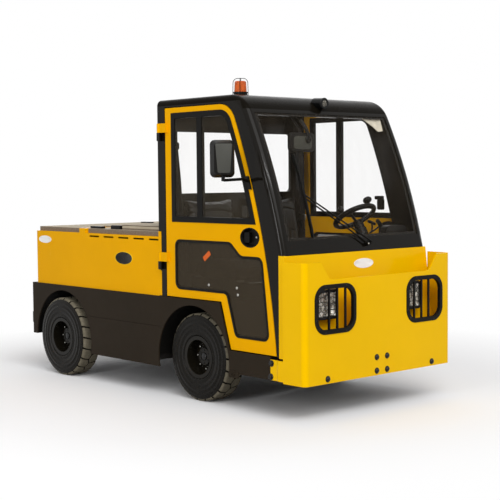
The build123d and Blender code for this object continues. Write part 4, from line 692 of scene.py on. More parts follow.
def add_wheel_studs(axle, axle_x, face, side, way):
    """Bright stud ends on the wheel nuts, and a dark hub cover with its bolts."""
    bm = bmesh.new()
    dark = bmesh.new()
    disc = face - 0.088
    for nut in range(8):
        turn = 2 * math.pi * nut / 8
        place = (axle_x + 0.084 * math.cos(turn), way * (disc + 0.0165), WHEEL_Z + 0.084 * math.sin(turn))
        matrix = frame_at(place, (0, way, 0))
        add_turned(
            bm, matrix, [(0.0125, -0.016), (0.0155, -0.016), (0.0155, -0.013), (0.0125, -0.013)], 20,
            caps=False,
        )
        add_turned(bm, matrix, dome(0.0062, 0.006, 0.003), 14)
    hub = disc + 0.034
    for bolt in range(6):
        turn = 2 * math.pi * (bolt + 0.5) / 6
        place = (axle_x + 0.042 * math.cos(turn), way * (hub - 0.0005), WHEEL_Z + 0.042 * math.sin(turn))
        add_turned(dark, frame_at(place, (0, way, 0)), dome(0.006, 0.0055, 0.003), 14)
    centre = (axle_x, way * (hub - 0.0005), WHEEL_Z)
    add_turned(dark, frame_at(centre, (0, way, 0)), dome(0.026, 0.010, 0.004), 36)
    add_piece(f"wheel_studs_{axle}_{side}", bm, zinc, WHEEL_BODIES[axle, side], sharp=40)
    add_piece(f"hub_cover_{axle}_{side}", dark, bolt_black, WHEEL_BODIES[axle, side], sharp=40)


for axle, axle_x, face in AXLES:
    for side, way in SIDES:
        add_tyre(axle, axle_x, face, side, way)
        add_wheel_studs(axle, axle_x, face, side, way)


# Seats


def split_pads():
    """The right-hand cushion and backrest, as merged copies of the CAD solids."""
    bm = bmesh.new()
    bm.from_mesh(nodes["seat_pads"].data)
    bmesh.ops.remove_doubles(bm, verts=bm.verts, dist=1e-5)
    left_over = set(bm.verts)
    parts = []
    while left_over:
        stack = [left_over.pop()]
        group = set(stack)
        while stack:
            for edge in stack.pop().link_edges:
                for vert in edge.verts:
                    if vert in left_over:
                        left_over.remove(vert)
                        group.add(vert)
                        stack.append(vert)
        parts.append(group)
    found = {}
    for group in parts:
        low = min(v.co.z for v in group)
        high = max(v.co.z for v in group)
        if max(v.co.y for v in group) > 0:
            continue
        part = bmesh.new()
        copies = {v: part.verts.new(v.co) for v in group}
        for face in bm.faces:
            if face.verts[0] in group:
                part.faces.new([copies[v] for v in face.verts])
        found["cushion" if high - low < 0.2 else "back"] = part
    bm.free()
    return found


def puff(name, bm, shrink, limit):
    """A pad's mesh, made even, blown up by a cloth simulation and then smoothed."""
    mesh = bpy.data.meshes.new(name)
    centre = sum((v.co for v in bm.verts), Vector()) / len(bm.verts)
    for vert in bm.verts:
        away = vert.co - centre
        vert.co -= Vector([math.copysign(shrink, a) if abs(a) > 0.02 else 0 for a in away])
    bm.to_mesh(mesh)
    bm.free()
    pad = bpy.data.objects.new(name, mesh)
    scene.collection.objects.link(pad)
    remesh = pad.modifiers.new("remesh", "REMESH")
    remesh.mode = "VOXEL"
    remesh.voxel_size = 0.006
    bake_modifiers(pad)
    start = [v.co.copy() for v in pad.data.vertices]
    cloth = pad.modifiers.new("cloth", "CLOTH")
    cloth.settings.quality = 5
    cloth.settings.use_pressure = True
    cloth.settings.uniform_pressure_force = 4
    cloth.settings.effector_weights.gravity = 0
    cloth.point_cache.frame_end = 20
    for step in range(1, 21):
        scene.frame_set(step)
    bake_modifiers(pad)
    scene.frame_set(1)
    for vert, old in zip(pad.data.vertices, start):
        move = vert.co - old
        if move.length > limit:
            vert.co = old + move * limit / move.length
    smooth = pad.modifiers.new("smooth", "SUBSURF")
    smooth.levels = smooth.render_levels = 1
    bake_modifiers(pad)
    return pad


def bake_modifiers(piece):
    """Makes what the modifiers show the piece's own mesh."""
    bpy.context.view_layer.update()
    seen = piece.evaluated_get(bpy.context.evaluated_depsgraph_get())
    mesh = bpy.data.meshes.new_from_object(seen)
    piece.modifiers.clear()
    piece.data = mesh


def groove(distance, width, depth):
    """How deep a sewn channel is at a distance from its line."""
    return depth * math.exp(-((distance / width) ** 2))


def sew_cushion(pad):
    """A seam round the cushion's middle panel, and four pleats across it."""
    for vert in pad.data.vertices:
        x, y, z = vert.co
        if z < 0.86:
            continue
        u, v = x - 0.60, y + SEAT_Y
        border = max(abs(u) / 0.165, abs(v) / 0.165)
        dip = groove((border - 1) * 0.165, 0.006, 0.007)
        if border < 1:
            for line in (-0.099, -0.033, 0.033, 0.099):
                dip = max(dip, groove(u - line, 0.006, 0.006))
        vert.co.z -= dip


def sew_back(pad):
    """A seam round the backrest's middle panel, upright pleats below and an arc above."""
    for vert in pad.data.vertices:
        x, y, z = vert.co
        v = y + SEAT_Y
        face_x = 0.363 - 0.148 * max(0.0, z - 0.91)
        if x < face_x - 0.05:
            continue
        side = abs(v) - 0.150
        top = z - (1.245 - 0.9 * v * v)
        border = max(side, top)
        dip = groove(border, 0.006, 0.007)
        if border < 0:
            arc = z - (1.10 - 1.4 * v * v)
            dip = max(dip, groove(arc, 0.006, 0.006))
            if arc < 0:
                for line in range(-2, 3):
                    dip = max(dip, groove(v - line * 0.052, 0.006, 0.006))
        vert.co.x -= dip


def cover_pad(pad):
    """Smooth shading and leather on a finished pad."""
    pad.data.materials.clear()
    pad.data.materials.append(leather)
    for face in pad.data.polygons:
        face.use_smooth = True


def welt_points(pad, centre, across, up, count=56):
    """Points on a pad's surface where a plane through it meets its edge."""
    tree = BVHTree.FromPolygons([v.co for v in pad.data.vertices], [p.vertices for p in pad.data.polygons])
    points = []
    for step in range(count):
        turn = 2 * math.pi * step / count
        way = Vector(across) * math.cos(turn) + Vector(up) * math.sin(turn)
        hit = tree.ray_cast(Vector(centre) + way * 0.8, -way)[0]
        if hit is not None:
            points.append(hit)
    return points


def make_seats():
    """Two padded seats, with piping round their edges."""
    parts = split_pads()
    cushion = puff("seat_cushion_right", parts["cushion"], 0.012, 0.024)
    back = puff("seat_back_right", parts["back"], 0.012, 0.024)
    sew_cushion(cushion)
    sew_back(back)
    for vert in cushion.data.vertices:
        vert.co.z = max(vert.co.z, 0.8003)
    welts = {
        "cushion": welt_points(cushion, (0.583, -SEAT_Y, 0.874), (1, 0, 0), (0, 1, 0)),
        "back": welt_points(back, (0.300, -SEAT_Y, 1.06), (0, 1, 0), (-0.146, 0, 0.989)),
    }
    pads = {"cushion": cushion, "back": back}
    for part, pad in pads.items():
        cover_pad(pad)
        twin = bpy.data.objects.new(f"seat_{part}_left", pad.data.copy())
        scene.collection.objects.link(twin)
        twin.data.transform(Matrix.Translation((0, 2 * SEAT_Y, 0)))
        for side, piece, shift in (("right", pad, 0.0), ("left", twin, 2 * SEAT_Y)):
            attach(piece, "body")
            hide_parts("seat_pads")
            points = [p + Vector((0, shift, 0)) for p in welts[part]]
            add_wire(
                f"seat_{part}_piping_{side}", points, 0.0032, plastic_black, cyclic=True,
            )


def add_seat_frames():
    """Runners and a slide bar under each cushion."""
    bm = bmesh.new()
    for _, way in SIDES:
        for across in (-0.13, 0.13):
            y = way * SEAT_Y + across
            matrix = Matrix.Translation((0.55, y, 0.798))
            add_slab(
                bm, matrix, rounded_outline(0.42, 0.035, 0.008), [(0, -0.016), (0, 0.001), (0.002, 0.002)],
            )
    add_piece("seat_runners", bm, zinc)
    for side, way in SIDES:
        y = way * SEAT_Y
        points = [
            (0.79, y - 0.12, 0.785), (0.83, y - 0.12, 0.78), (0.83, y + 0.12, 0.78),
            (0.79, y + 0.12, 0.785),
        ]
        add_wire(f"seat_slide_bar_{side}", points, 0.006, zinc, smooth=False)


def add_belts():
    """A lap and shoulder belt parked on each rear post, with its reel, loop and tongue."""
    for side, way in SIDES:
        y = way * 0.568
        bm = bmesh.new()
        shift = -0.045 if way < 0 else 0.0
        path = [(0.272, 1.66), (0.276, 1.55), (0.284, 1.40), (0.290, 1.25), (0.292, 1.10), (0.290, 0.86)]
        path = [(x + shift, y, z) for x, z in path]
        add_strap(bm, path, (1, 0, 0), 0.047, 0.0016)
        second = [(0.288, 0.004, 1.655), (0.305, 0.012, 1.45), (0.318, 0.016, 1.22), (0.312, 0.012, 0.84)]
        second = [(x + shift, y - way * depth, z) for x, depth, z in second]
        add_strap(bm, second, (1, 0, 0), 0.047, 0.0016)
        add_piece(f"belt_webbing_{side}", bm, webbing)
        bm = bmesh.new()
        add_plate(
            bm, (0.288 + shift, y, 0.80), (0, way, 0), (0.075, 0.105, 0.016),
            [(0.003, -0.03), (0, -0.026), (0, 0.006)],
        )
        add_plate(
            bm, (0.279 + shift, y, 1.675), (0, way, 0), (0.075, 0.05, 0.014),
            [(0.003, -0.013), (0, -0.010), (0, 0.006)],
        )
        add_piece(f"belt_reel_{side}", bm, plastic_black)
        bm = bmesh.new()
        add_plate(
            bm, (0.318 + shift, y - way * 0.016, 1.17), (0, way, 0), (0.062, 0.040, 0.008),
            [(0.002, -0.008), (0, -0.006), (0, 0.004)],
        )
        add_plate(
            bm, (0.325 + shift, y - way * 0.016, 1.118), (0, way, 0), (0.024, 0.070, 0.004),
            [(0, -0.004), (0, -0.0015)],
        )
        add_piece(f"belt_tongue_{side}", bm, zinc)
        bm = bmesh.new()
        add_plate(
            bm, (0.40, way * 0.055, 0.905), (0.25, 0, 0.97), (0.045, 0.030, 0.008),
            [(0, -0.10), (0, 0.0), (0.003, 0.004)], up=(0, 1, 0),
        )
        add_piece(f"belt_buckle_{side}", bm, plastic_grey)


make_seats()
add_seat_frames()
add_belts()


# Bolts, plates and screws


PLATE_X = 1.570


def add_plate_bolts():
    """Black dome-headed bolts of the front plate and of its side tabs."""
    bm = bmesh.new()
    places = [(PLATE_X, y, 0.255) for y in (-0.485, -0.048, 0.048, 0.485)]
    places += [(PLATE_X, y, 0.340) for y in (-0.048, 0.048)]
    for place in places:
        matrix = frame_at(place, (1, 0, 0))
        add_turned(bm, matrix, [(0.0195, 0.0), (0.0195, 0.002), (0.0180, 0.003)], 32)
        add_turned(bm, matrix, dome(0.0165, 0.0150, 0.0030), 32)
    for _, way in SIDES:
        for place in ((1.279, way * 0.671, 0.338), (1.273, way * 0.671, 0.256)):
            matrix = frame_at(place, (0, way, 0))
            add_turned(bm, matrix, [(0.020, 0.0), (0.020, 0.003), (0.0185, 0.004)], 32)
            add_turned(bm, matrix, [(0.0145, 0.004), (0.0145, 0.014), (0.0125, 0.016)], 6)
    add_piece("plate_bolts", bm, bolt_black)
    bm = bmesh.new()
    for _, way in SIDES:
        for place in ((1.447, way * 0.677, 0.336), (1.446, way * 0.677, 0.252)):
            add_turned(
                bm, frame_at(place, (0, way, 0)), [(0.0085, 0.0), (0.0075, 0.0008), (0.004, 0.0002)], 24,
            )
    # The plugs take the front's brighter copy of the yellow, which is painted light.
    add_piece("plate_plugs", bm, paint_yellow_lit)


def add_oval(name, centre, normal, width, height, thick, materials, body="body"):
    """A bare oval plate with a raised border."""
    bm = bmesh.new()
    squeeze = height / width
    half = width / 2
    matrix = frame_at(centre, normal)
    rim = min(0.005, half * 0.08)
    add_turned(
        bm, matrix, [(half, 0), (half, thick * 0.7), (half - rim * 0.3, thick), (half - rim, thick)], 56,
        squeeze, 1, False,
    )
    add_turned(
        bm, matrix, [(half - rim, thick), (half - rim * 1.2, thick * 0.75), (0.001, thick * 0.75)], 56,
        squeeze, 0, False,
    )
    return add_piece(name, bm, materials, body)


def add_guard_screws():
    """Small pan-head screws round the rubber edging of each lamp window."""
    bm = bmesh.new()
    for _, way in SIDES:
        outline = rounded_outline(0.360 - 0.022, 0.299 - 0.022, 0.081, 2)
        for x, y in outline:
            place = (PLATE_X + 0.0045, way * 0.414 + x, 0.672 + y)
            add_turned(bm, frame_at(place, (1, 0, 0)), dome(0.0046, 0.0028, 0.0006), 16)
    add_piece("guard_screws", bm, bolt_black)


def add_sill_lug():
    """A dark lug with a hole on each sill, behind the front wheel."""
    bm = bmesh.new()
    for _, way in SIDES:
        matrix = frame_at((0.932, way * 0.671, 0.229), (0, way, 0))
        add_slab(bm, matrix, rounded_outline(0.094, 0.042, 0.012), [(0, -0.004), (0, 0.005), (0.002, 0.007)])
        add_turned(
            bm, matrix, [(0.014, 0.006), (0.014, 0.011), (0.011, 0.013), (0.009, 0.008), (0.001, 0.008)],
            28,
        )
    add_piece("sill_lugs", bm, paint_dark)


def add_post_panels():
    """Yellow sheet edges of the body that lap over the cab's rear posts, beside each hinge."""
    bm = bmesh.new()
    for _, way in SIDES:
        outline = [
            (0.162, 0.676), (0.193, 0.676), (0.193, 0.842), (0.180, 0.848), (0.180, 0.959), (0.193, 0.965),
        ]
        outline += [(0.193, 1.106), (0.162, 1.106)]
        inner = [bm.verts.new((x, way * 0.6572, z)) for x, z in outline]
        outer = [bm.verts.new((x, way * 0.6592, z)) for x, z in outline]
        join_rings(bm, [inner, outer])
        bm.faces.new(inner)
        bm.faces.new(outer)
    add_piece("post_panels", bm, paint_yellow)


def add_cover_pull():
    """A flat black pull on top of the raised board."""
    bm = bmesh.new()
    add_plate(
        bm, (-0.50, -0.25, 1.136), (0, 0, 1), (0.125, 0.040, 0.014),
        [(0, -0.002), (0, 0.004), (0.003, 0.006)], up=(0, 1, 0),
    )
    add_piece("cover_pull", bm, plastic_black, "lid_front")


def add_tail_buffers():
    """Small rubber buffers low on the tail, one on each side."""
    bm = bmesh.new()
    for _, way in SIDES:
        add_plate(
            bm, (-1.411, way * 0.628, 0.398), (-1, 0, 0), (0.050, 0.100, 0.010),
            [(0, 0), (0, 0.030), (0.006, 0.042)],
        )
    add_piece("tail_buffers", bm, rubber_black)


add_plate_bolts()
add_guard_screws()
add_post_panels()
add_cover_pull()
add_tail_buffers()
add_sill_lug()
add_oval(
    "cowl_plate", (1.3853, 0.036, 0.913), (0.9925, 0, 0.1219), 0.180, 0.062, 0.0016,
    [plate_white, plate_white],
)
for side, way in SIDES:
    add_oval(
        f"side_plate_dark_{side}", (-0.236, way * 0.658, 0.908), (0, way, 0), 0.205, 0.090, 0.0015,
        [lamp_black, yellow_line],
    )
    add_oval(
        f"side_plate_white_{side}", (-1.243, way * 0.658, 1.007), (0, way, 0), 0.172, 0.056, 0.0015,
        [plate_white, plate_white],
    )


# Lamps


def add_reflectors():
    """Moulded crystal-like reflectors behind the headlamp lenses."""
    cells = 12
    width, height = 0.150, 0.144
    for side, way in SIDES:
        bm = bmesh.new()
        centre = Vector((1.4795, way * 0.392, 0.688))
        verts = {}
        for i in range(2 * cells + 1):
            for j in range(2 * cells + 1):
                u, v = i / cells - 1, j / cells - 1
                bowl = 0.0095 * (u * u + v * v) / 2
                peak = 0.0022 if (i % 2 and j % 2) else 0.0
                place = centre + Vector((bowl - 0.0155 + 0.004 + peak, u * width / 2, v * height / 2))
                verts[i, j] = bm.verts.new(place)
        for i in range(2 * cells):
            for j in range(2 * cells):
                corners = (verts[i, j], verts[i + 1, j], verts[i + 1, j + 1], verts[i, j + 1])
                bm.faces.new(corners[:3] if (i + j) % 2 else (corners[0], corners[1], corners[3]))
                bm.faces.new((corners[0], corners[2], corners[3]) if (i + j) % 2 else corners[1:])
        add_piece(f"headlamp_reflector_{side}", bm, crystal, sharp=5)


def add_roof_lamp_face():
    """Dark bezel and moulded reflector of the round roof lamp."""
    bm = bmesh.new()
    low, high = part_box("roof_lamp")
    centre = Vector((high.x, 0, (low.z + high.z) / 2 - 0.001))
    matrix = frame_at(centre, (0.999, 0, -0.046))
    add_turned(
        bm, matrix, [(0.036, -0.004), (0.0375, 0.0), (0.0345, 0.004), (0.023, 0.0044), (0.0205, 0.001)], 40,
        caps=False,
    )
    profile = [(0.0205, 0.001)]
    profile += [(0.0205 * k / 6, 0.0012 + 0.0022 * (1 - (k / 6) ** 2)) for k in range(5, 0, -1)]
    add_turned(bm, matrix, profile + [(0.0008, 0.0034)], 40, index=1, caps=False)
    add_piece("roof_lamp_face", bm, [lamp_black, crystal_dim])


def add_beacon_parts():
    """Clear dome over the beacon's amber lens, its cap, and a bolted clamp ring."""
    low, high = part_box("beacon_base")
    centre = Vector(((low.x + high.x) / 2, (low.y + high.y) / 2, low.z))
    bm = bmesh.new()
    top = high.z - low.z - 0.006
    profile = [(0.0435, 0.024), (0.0432, 0.036), (0.0415, top - 0.024)]
    for step in range(1, 7):
        turn = math.radians(15 * step)
        profile.append((0.0415 * math.cos(turn) + 0.0004, top - 0.024 + 0.022 * math.sin(turn)))
    add_turned(bm, Matrix.Translation(centre), profile, 48)
    add_piece("beacon_dome", bm, clear_dome)
    bm = bmesh.new()
    ring = [(0.045, 0.022), (0.0485, 0.0225), (0.0485, 0.030), (0.0455, 0.0305)]
    add_turned(bm, Matrix.Translation(centre), ring, 48, caps=False)
    for step in range(4):
        turn = math.radians(90 * step + 20)
        place = centre + Vector((0.049 * math.cos(turn), 0.049 * math.sin(turn), 0.0103))
        add_turned(bm, Matrix.Translation(place), dome(0.004, 0.003, 0.001), 14)
    add_piece("beacon_clamp", bm, plastic_black)


def add_rear_lamp_parts():
    """Black backing frames and screws of the rear lamp clusters."""
    bm = bmesh.new()
    low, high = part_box("rear_lamps")
    for _, way in SIDES:
        y, z = way * 0.600, (low.z + high.z) / 2
        for level in (z - 0.105 + 0.0755, z - 0.105 + 0.1385):
            add_plate(
                bm, (low.x + 0.002, y, level), (-1, 0, 0), (0.074, 0.004, 0.0015, 2),
                [(0, -0.004), (0, 0.003), (0.0005, 0.0035)],
            )
    add_piece("rear_lamp_bars", bm, plastic_black)
    bm = bmesh.new()
    for _, way in SIDES:
        for level in (low.z + 0.014, high.z - 0.014):
            add_turned(
                bm, frame_at((low.x - 0.0002, way * 0.600, level), (-1, 0, 0)),
                dome(0.0042, 0.0022, 0.0005), 16,
            )
    add_piece("rear_lamp_screws", bm, zinc)


add_reflectors()
add_roof_lamp_face()
add_beacon_parts()
add_rear_lamp_parts()


# Doors, mirrors and wiper


def add_door_locks():
    """Key lock and inside latch of each door, and a window catch on the left door."""
    for side, way in SIDES:
        body = "door_r" if way < 0 else "door_l"
        bm = bmesh.new()
        add_turned(
            bm, frame_at((1.122, way * 0.640, 1.095), (0, way, 0)),
            [(0.0065, -0.006), (0.0065, 0.004), (0.0055, 0.005), (0.002, 0.005), (0.0018, 0.004)], 24,
        )
        add_piece(f"door_lock_{side}", bm, zinc, body)
        bm = bmesh.new()
        place = (1.010, -0.634, 1.250) if way < 0 else (1.004, 0.634, 1.268)
        add_plate(bm, place, (0, -way, 0), (0.050, 0.074, 0.010), [(0, -0.006), (0, 0.014), (0.004, 0.018)])
        if way > 0:
            add_plate(
                bm, (0.992, 0.634, 1.314), (0, -way, 0), (0.066, 0.026, 0.010),
                [(0, -0.006), (0, 0.018), (0.004, 0.022)],
            )
        add_piece(f"window_catch_{side}", bm, rubber_black, body)


def add_glass_fittings():
    """Screws of the lower pane, and the small orange reflector stuck inside it."""
    bm = bmesh.new()
    for x, z in ((0.677, 0.776), (0.948, 0.773), (0.957, 0.730)):
        add_turned(bm, frame_at((x, -0.6535, z), (0, -1, 0)), dome(0.009, 0.004, 0.001), 18)
    add_piece("pane_screws", bm, zinc, "door_r")
    bm = bmesh.new()
    add_plate(
        bm, (0.660, -0.6533, 0.961), (0, -1, 0), (0.032, 0.078, 0.006),
        [(0, 0), (0, 0.001), (0.0005, 0.0015)], up=(0.8, 0, 0.6),
    )
    add_piece("pane_reflector", bm, orange_tag, "door_r")


def add_mirror_parts():
    """Mirror glasses, the shell's raised panel, and the inside mirror's frame and joint."""
    turn = math.radians(30)
    facing = Vector((-math.cos(turn), math.sin(turn), 0))
    bm = bmesh.new()
    add_plate(
        bm, Vector((1.112, -0.900, 1.575)) + facing * 0.0222, facing, (0.138, 0.213, 0.026),
        [(0, 0), (0, 0.0012), (0.0015, 0.002)],
    )
    add_piece("mirror_glass_right", bm, mirror_glass, "door_r")
    bm = bmesh.new()
    front = -facing
    side_way = Vector((math.sin(turn), math.cos(turn), 0))
    for shift in (-0.022, 0.022):
        place = Vector((1.112, -0.900, 1.4835)) + front * 0.0295 + side_way * shift
        add_turned(bm, frame_at(place, front), dome(0.0035, 0.003, 0.001), 18)
    add_piece("mirror_screws", bm, bolt_black, "door_r")
    bm = bmesh.new()
    matrix = frame_at(Vector((1.112, -0.900, 1.5765)) + front * 0.0300, front)
    outline = [(0.051, 0.082), (0.046, 0.088), (-0.046, 0.088), (-0.051, 0.082)]
    outline += [(-0.038, -0.080), (-0.033, -0.086), (0.033, -0.086), (0.038, -0.080)]
    add_slab(bm, matrix, outline, [(0, -0.001), (0, 0.0012), (0.003, 0.0030)])
    add_piece("mirror_shell_panel", bm, plastic_grey, "door_r")
    bm = bmesh.new()
    matrix = frame_at((1.072, -0.204, 1.682), (1, 0, 0))
    levels = [(0.006, -0.018), (0, -0.014), (0, 0.008), (0.004, 0.013), (0.010, 0.015)]
    add_slab(bm, matrix, rounded_outline(0.216, 0.124, 0.030), levels)
    add_piece("interior_mirror_frame", bm, plastic_black)
    bm = bmesh.new()
    add_plate(
        bm, (1.087, -0.204, 1.680), (1, 0, 0), (0.160, 0.082, 0.024),
        [(0, -0.004), (0, 0.0008), (0.002, 0.0020)],
    )
    add_piece("interior_mirror_back", bm, mirror_back)
    bm = bmesh.new()
    add_plate(
        bm, (1.0535, -0.204, 1.680), (-1, 0, 0), (0.182, 0.096, 0.022),
        [(0, -0.002), (0, 0.0015), (0.001, 0.0021)],
    )
    add_piece("interior_mirror_glass", bm, mirror_glass)
    bm = bmesh.new()
    add_turned(
        bm, frame_at((1.088, -0.160, 1.700), (1, 0, 0)),
        [(0.024, 0.0), (0.024, 0.008), (0.020, 0.012), (0.012, 0.012), (0.011, 0.009), (0.001, 0.009)], 32,
    )
    add_piece("interior_mirror_joint", bm, plastic_black)
    points = [(1.096, -0.160, 1.705), (1.092, -0.166, 1.745), (1.078, -0.180, 1.790), (1.050, -0.190, 1.825)]
    add_wire("interior_mirror_arm", points, 0.012, plastic_black)


def add_wiper_parts():
    """The wiper's spindle screw."""
    bm = bmesh.new()
    add_turned(bm, frame_at((1.393, 0.075, 1.036), (0.99, 0, 0.12)), dome(0.0055, 0.005, 0.001), 20)
    add_piece("wiper_screws", bm, zinc)


add_door_locks()
add_glass_fittings()
add_mirror_parts()
add_wiper_parts()


# Cab fittings


def add_visor():
    """A pale sun visor under the roof's front edge, on its rod, ahead of the driver."""
    bm = bmesh.new()
    outline = [(1.046, 0.372, 1.862), (1.046, 0.571, 1.868), (1.078, 0.571, 1.768), (1.080, 0.520, 1.762)]
    outline += [(1.066, 0.485, 1.796), (1.050, 0.400, 1.846)]
    front = [bm.verts.new(Vector(p)) for p in outline]
    back = [bm.verts.new(Vector(p) - Vector((0.007, 0, 0))) for p in outline]
    join_rings(bm, [front, back])
    bm.faces.new(front)
    bm.faces.new(list(reversed(back)))
    bmesh.ops.bevel(bm, geom=list(bm.edges), offset=0.0015, segments=2, affect="EDGES")
    add_piece("sun_visor", bm, cream)
    points = [(1.040, 0.335, 1.872), (1.041, 0.44, 1.873), (1.041, 0.565, 1.874)]
    add_wire("sun_visor_rod", points, 0.004, zinc)


def add_headliner():
    """A ribbed lining under the roof."""
    bm = bmesh.new()
    columns = 40
    rows = []
    for i in range(25):
        x = 0.21 + 0.76 * i / 24
        rib = 0.0015 * math.cos(2 * math.pi * i / 3)
        row = [bm.verts.new((x, -0.565 + 1.13 * j / columns, 1.930 + rib)) for j in range(columns + 1)]
        rows.append(row)
    join_rings(bm, rows, closed=False)
    piece = add_piece("headliner", bm, liner_beige)
    thick = piece.modifiers.new("thick", "SOLIDIFY")
    thick.thickness = 0.004
    thick.offset = -1
    bake_modifiers(piece)


def add_header_seal():
    """A ribbed rubber seal that closes the gap between the rear wall and the roof."""
    low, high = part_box("rear_wall")
    depth = high.x - low.x
    bm = bmesh.new()
    matrix = frame_at(((low.x + high.x) / 2, 0, high.z + 0.0115), (-1, 0, 0))
    levels = [
        (0.002, -depth / 2 + 0.001), (0, -depth / 2 + 0.003), (0, depth / 2 - 0.003),
        (0.002, depth / 2 - 0.001),
    ]
    add_slab(bm, matrix, rounded_outline(high.y - low.y - 0.004, 0.0245, 0.004), levels)
    for rib in (-0.0055, 0.0, 0.0055):
        place = matrix @ Vector((0, rib, depth / 2 - 0.002))
        add_plate(
            bm, place, (-1, 0, 0), (high.y - low.y - 0.02, 0.002, 0.0009, 2),
            [(0, 0), (0, 0.0018), (0.0004, 0.0024)],
        )
    add_piece("header_seal", bm, rubber_black)


def add_levers():
    """Column levers behind the steering wheel, a direction switch, and white domes on the pod whose white is a
    painted highlight for the glints on its lights.
    """
    pills = (("lever_right", (1.150, 0.498, 1.099), (1.150, 0.427, 1.169), 0.0150),)
    pills += (("lever_left", (1.150, 0.407, 1.143), (1.150, 0.338, 1.165), 0.0105),)
    for name, low_end, high_end, radius in pills:
        low_end, high_end = Vector(low_end), Vector(high_end)
        reach = (high_end - low_end).length
        bm = bmesh.new()
        profile = [
            (radius * 0.5, -0.004), (radius * 0.9, 0.001), (radius, 0.006), (radius * 0.95, reach - 0.006),
        ]
        add_turned(bm, frame_at(low_end, high_end - low_end), profile + [(radius * 0.6, reach)], 24)
        add_piece(f"{name}_knob", bm, plastic_black)
        points = [(1.150, 0.352, 1.085), (1.152, 0.390, 1.095), tuple((low_end + high_end) / 2)]
        add_wire(f"{name}_stalk", points, 0.0055, plastic_black)
    # Painted highlight: the pod's two lights are white domes, whose white stands in for their glints.
    bm = bmesh.new()
    for y, z, size in ((0.555, 1.107, 0.0042), (0.522, 1.104, 0.0050)):
        add_turned(bm, frame_at((1.2675, y, z), (1, 0, 0.15)), dome(size, 0.004, 0.001), 16)
    add_piece("pod_glint_domes", bm, plate_white)


def add_wheel_wrap():
    """A thick wrap on the steering wheel's rim, with a spinner knob."""
    tilt = math.radians(32)
    axis = Vector((-math.sin(tilt), 0, math.cos(tilt)))
    along = Vector((math.cos(tilt), 0, math.sin(tilt)))
    low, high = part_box("steering_wheel")
    centre = Vector((1.040, 0.330, 1.190))
    radius = (high.y - low.y) / 2 - 0.012
    levels = []
    for vert in nodes["steering_wheel"].data.vertices:
        level = (vert.co - centre).dot(axis)
        if (vert.co - centre - axis * level).length > radius - 0.004:
            levels.append(level)
    rim_centre = centre + axis * sum(levels) / len(levels)
    points = []
    for step in range(48):
        turn = 2 * math.pi * step / 48
        points.append(rim_centre + (along * math.cos(turn) + Vector((0, math.sin(turn), 0))) * radius)
    add_wire("wheel_wrap", points, 0.0155, plastic_black, "hand_wheel", cyclic=True)
    turn = math.radians(KNOB_TURN)
    foot = rim_centre + (along * math.cos(turn) + Vector((0, math.sin(turn), 0))) * radius
    bm = bmesh.new()
    profile = [(0.008, 0.0), (0.008, 0.022), (0.022, 0.026), (0.0300, 0.036), (0.0300, 0.048), (0.022, 0.058)]
    add_turned(bm, frame_at(foot, axis), profile + [(0.010, 0.062), (0.001, 0.063)], 28)
    add_piece("spinner_knob", bm, plastic_black, "hand_wheel")


def add_gauges():
    """Two round gauges and a row of switches on the driver's side of the pod."""
    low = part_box("dashboard")[0]
    face_x = low.x - 0.0005
    bm = bmesh.new()
    for y in (0.505, 0.415):
        matrix = frame_at((face_x, y, 1.055), (-1, 0, 0))
        add_turned(
            bm, matrix, [(0.036, 0.0), (0.036, 0.004), (0.033, 0.006), (0.031, 0.004)], 40, index=0,
            caps=False,
        )
        add_turned(bm, matrix, [(0.031, 0.002), (0.001, 0.002)], 40, index=1, caps=False)
        for tick in range(11):
            turn = math.radians(225 - 27 * tick)
            reach = 0.026
            place = matrix @ Vector((reach * math.cos(turn), reach * math.sin(turn), 0.0021))
            spin = matrix.to_3x3() @ Vector((math.cos(turn), math.sin(turn), 0))
            add_plate(bm, place, (-1, 0, 0), (0.0016, 0.007, 0.0005, 1), [(0, 0), (0, 0.0008)], 2, up=spin)
        add_plate(
            bm, matrix @ Vector((-0.006, 0.008, 0.003)), (-1, 0, 0), (0.0018, 0.030, 0.0007, 1),
            [(0, 0), (0, 0.001)], 3, up=matrix.to_3x3() @ Vector((-0.6, 0.8, 0)),
        )
    add_piece("gauges", bm, [chrome, lamp_black, plate_white, amber])
    bm = bmesh.new()
    for step in range(5):
        add_plate(
            bm, (low.x + 0.022, 0.20 - 0.075 * step, 0.968), (-0.95, 0, 0.3), (0.030, 0.022, 0.003),
            [(0, -0.02), (0, 0.004), (0.002, 0.006)],
        )
    add_piece("dash_switches", bm, plastic_grey)


add_visor()
add_headliner()
add_header_seal()
add_levers()
add_wheel_wrap()
add_gauges()


# Camera, floor and light


def add_camera():
    """The photograph's camera."""
    yaw, pitch, roll = (math.radians(v) for v in (47.916, 3.526, -0.504))
    forward = Vector((-math.sin(yaw) * math.cos(pitch), math.cos(yaw) * math.cos(pitch), -math.sin(pitch)))
    level = Vector((math.cos(yaw), math.sin(yaw), 0))
    over = level.cross(forward)
    right = math.cos(roll) * level + math.sin(roll) * over
    up = -math.sin(roll) * level + math.cos(roll) * over
    lens = bpy.data.cameras.new("camera")
    lens.sensor_width = 36
    lens.lens = 85.2
    camera = bpy.data.objects.new("camera", lens)
    scene.collection.objects.link(camera)
    matrix = Matrix((right, up, -forward)).transposed().to_4x4()
    matrix.translation = Vector((6.4666, -5.5242, 1.4640))
    camera.matrix_world = matrix
    scene.camera = camera


def add_sun(name, towards, strength, softness):
    """A distant soft studio light, shining from a direction."""
    light = bpy.data.lights.new(name, "SUN")
    light.energy = strength
    light.angle = math.radians(softness)
    lamp = bpy.data.objects.new(name, light)
    scene.collection.objects.link(lamp)
    lamp.rotation_euler = Vector(towards).to_track_quat("Z", "Y").to_euler()
    return lamp


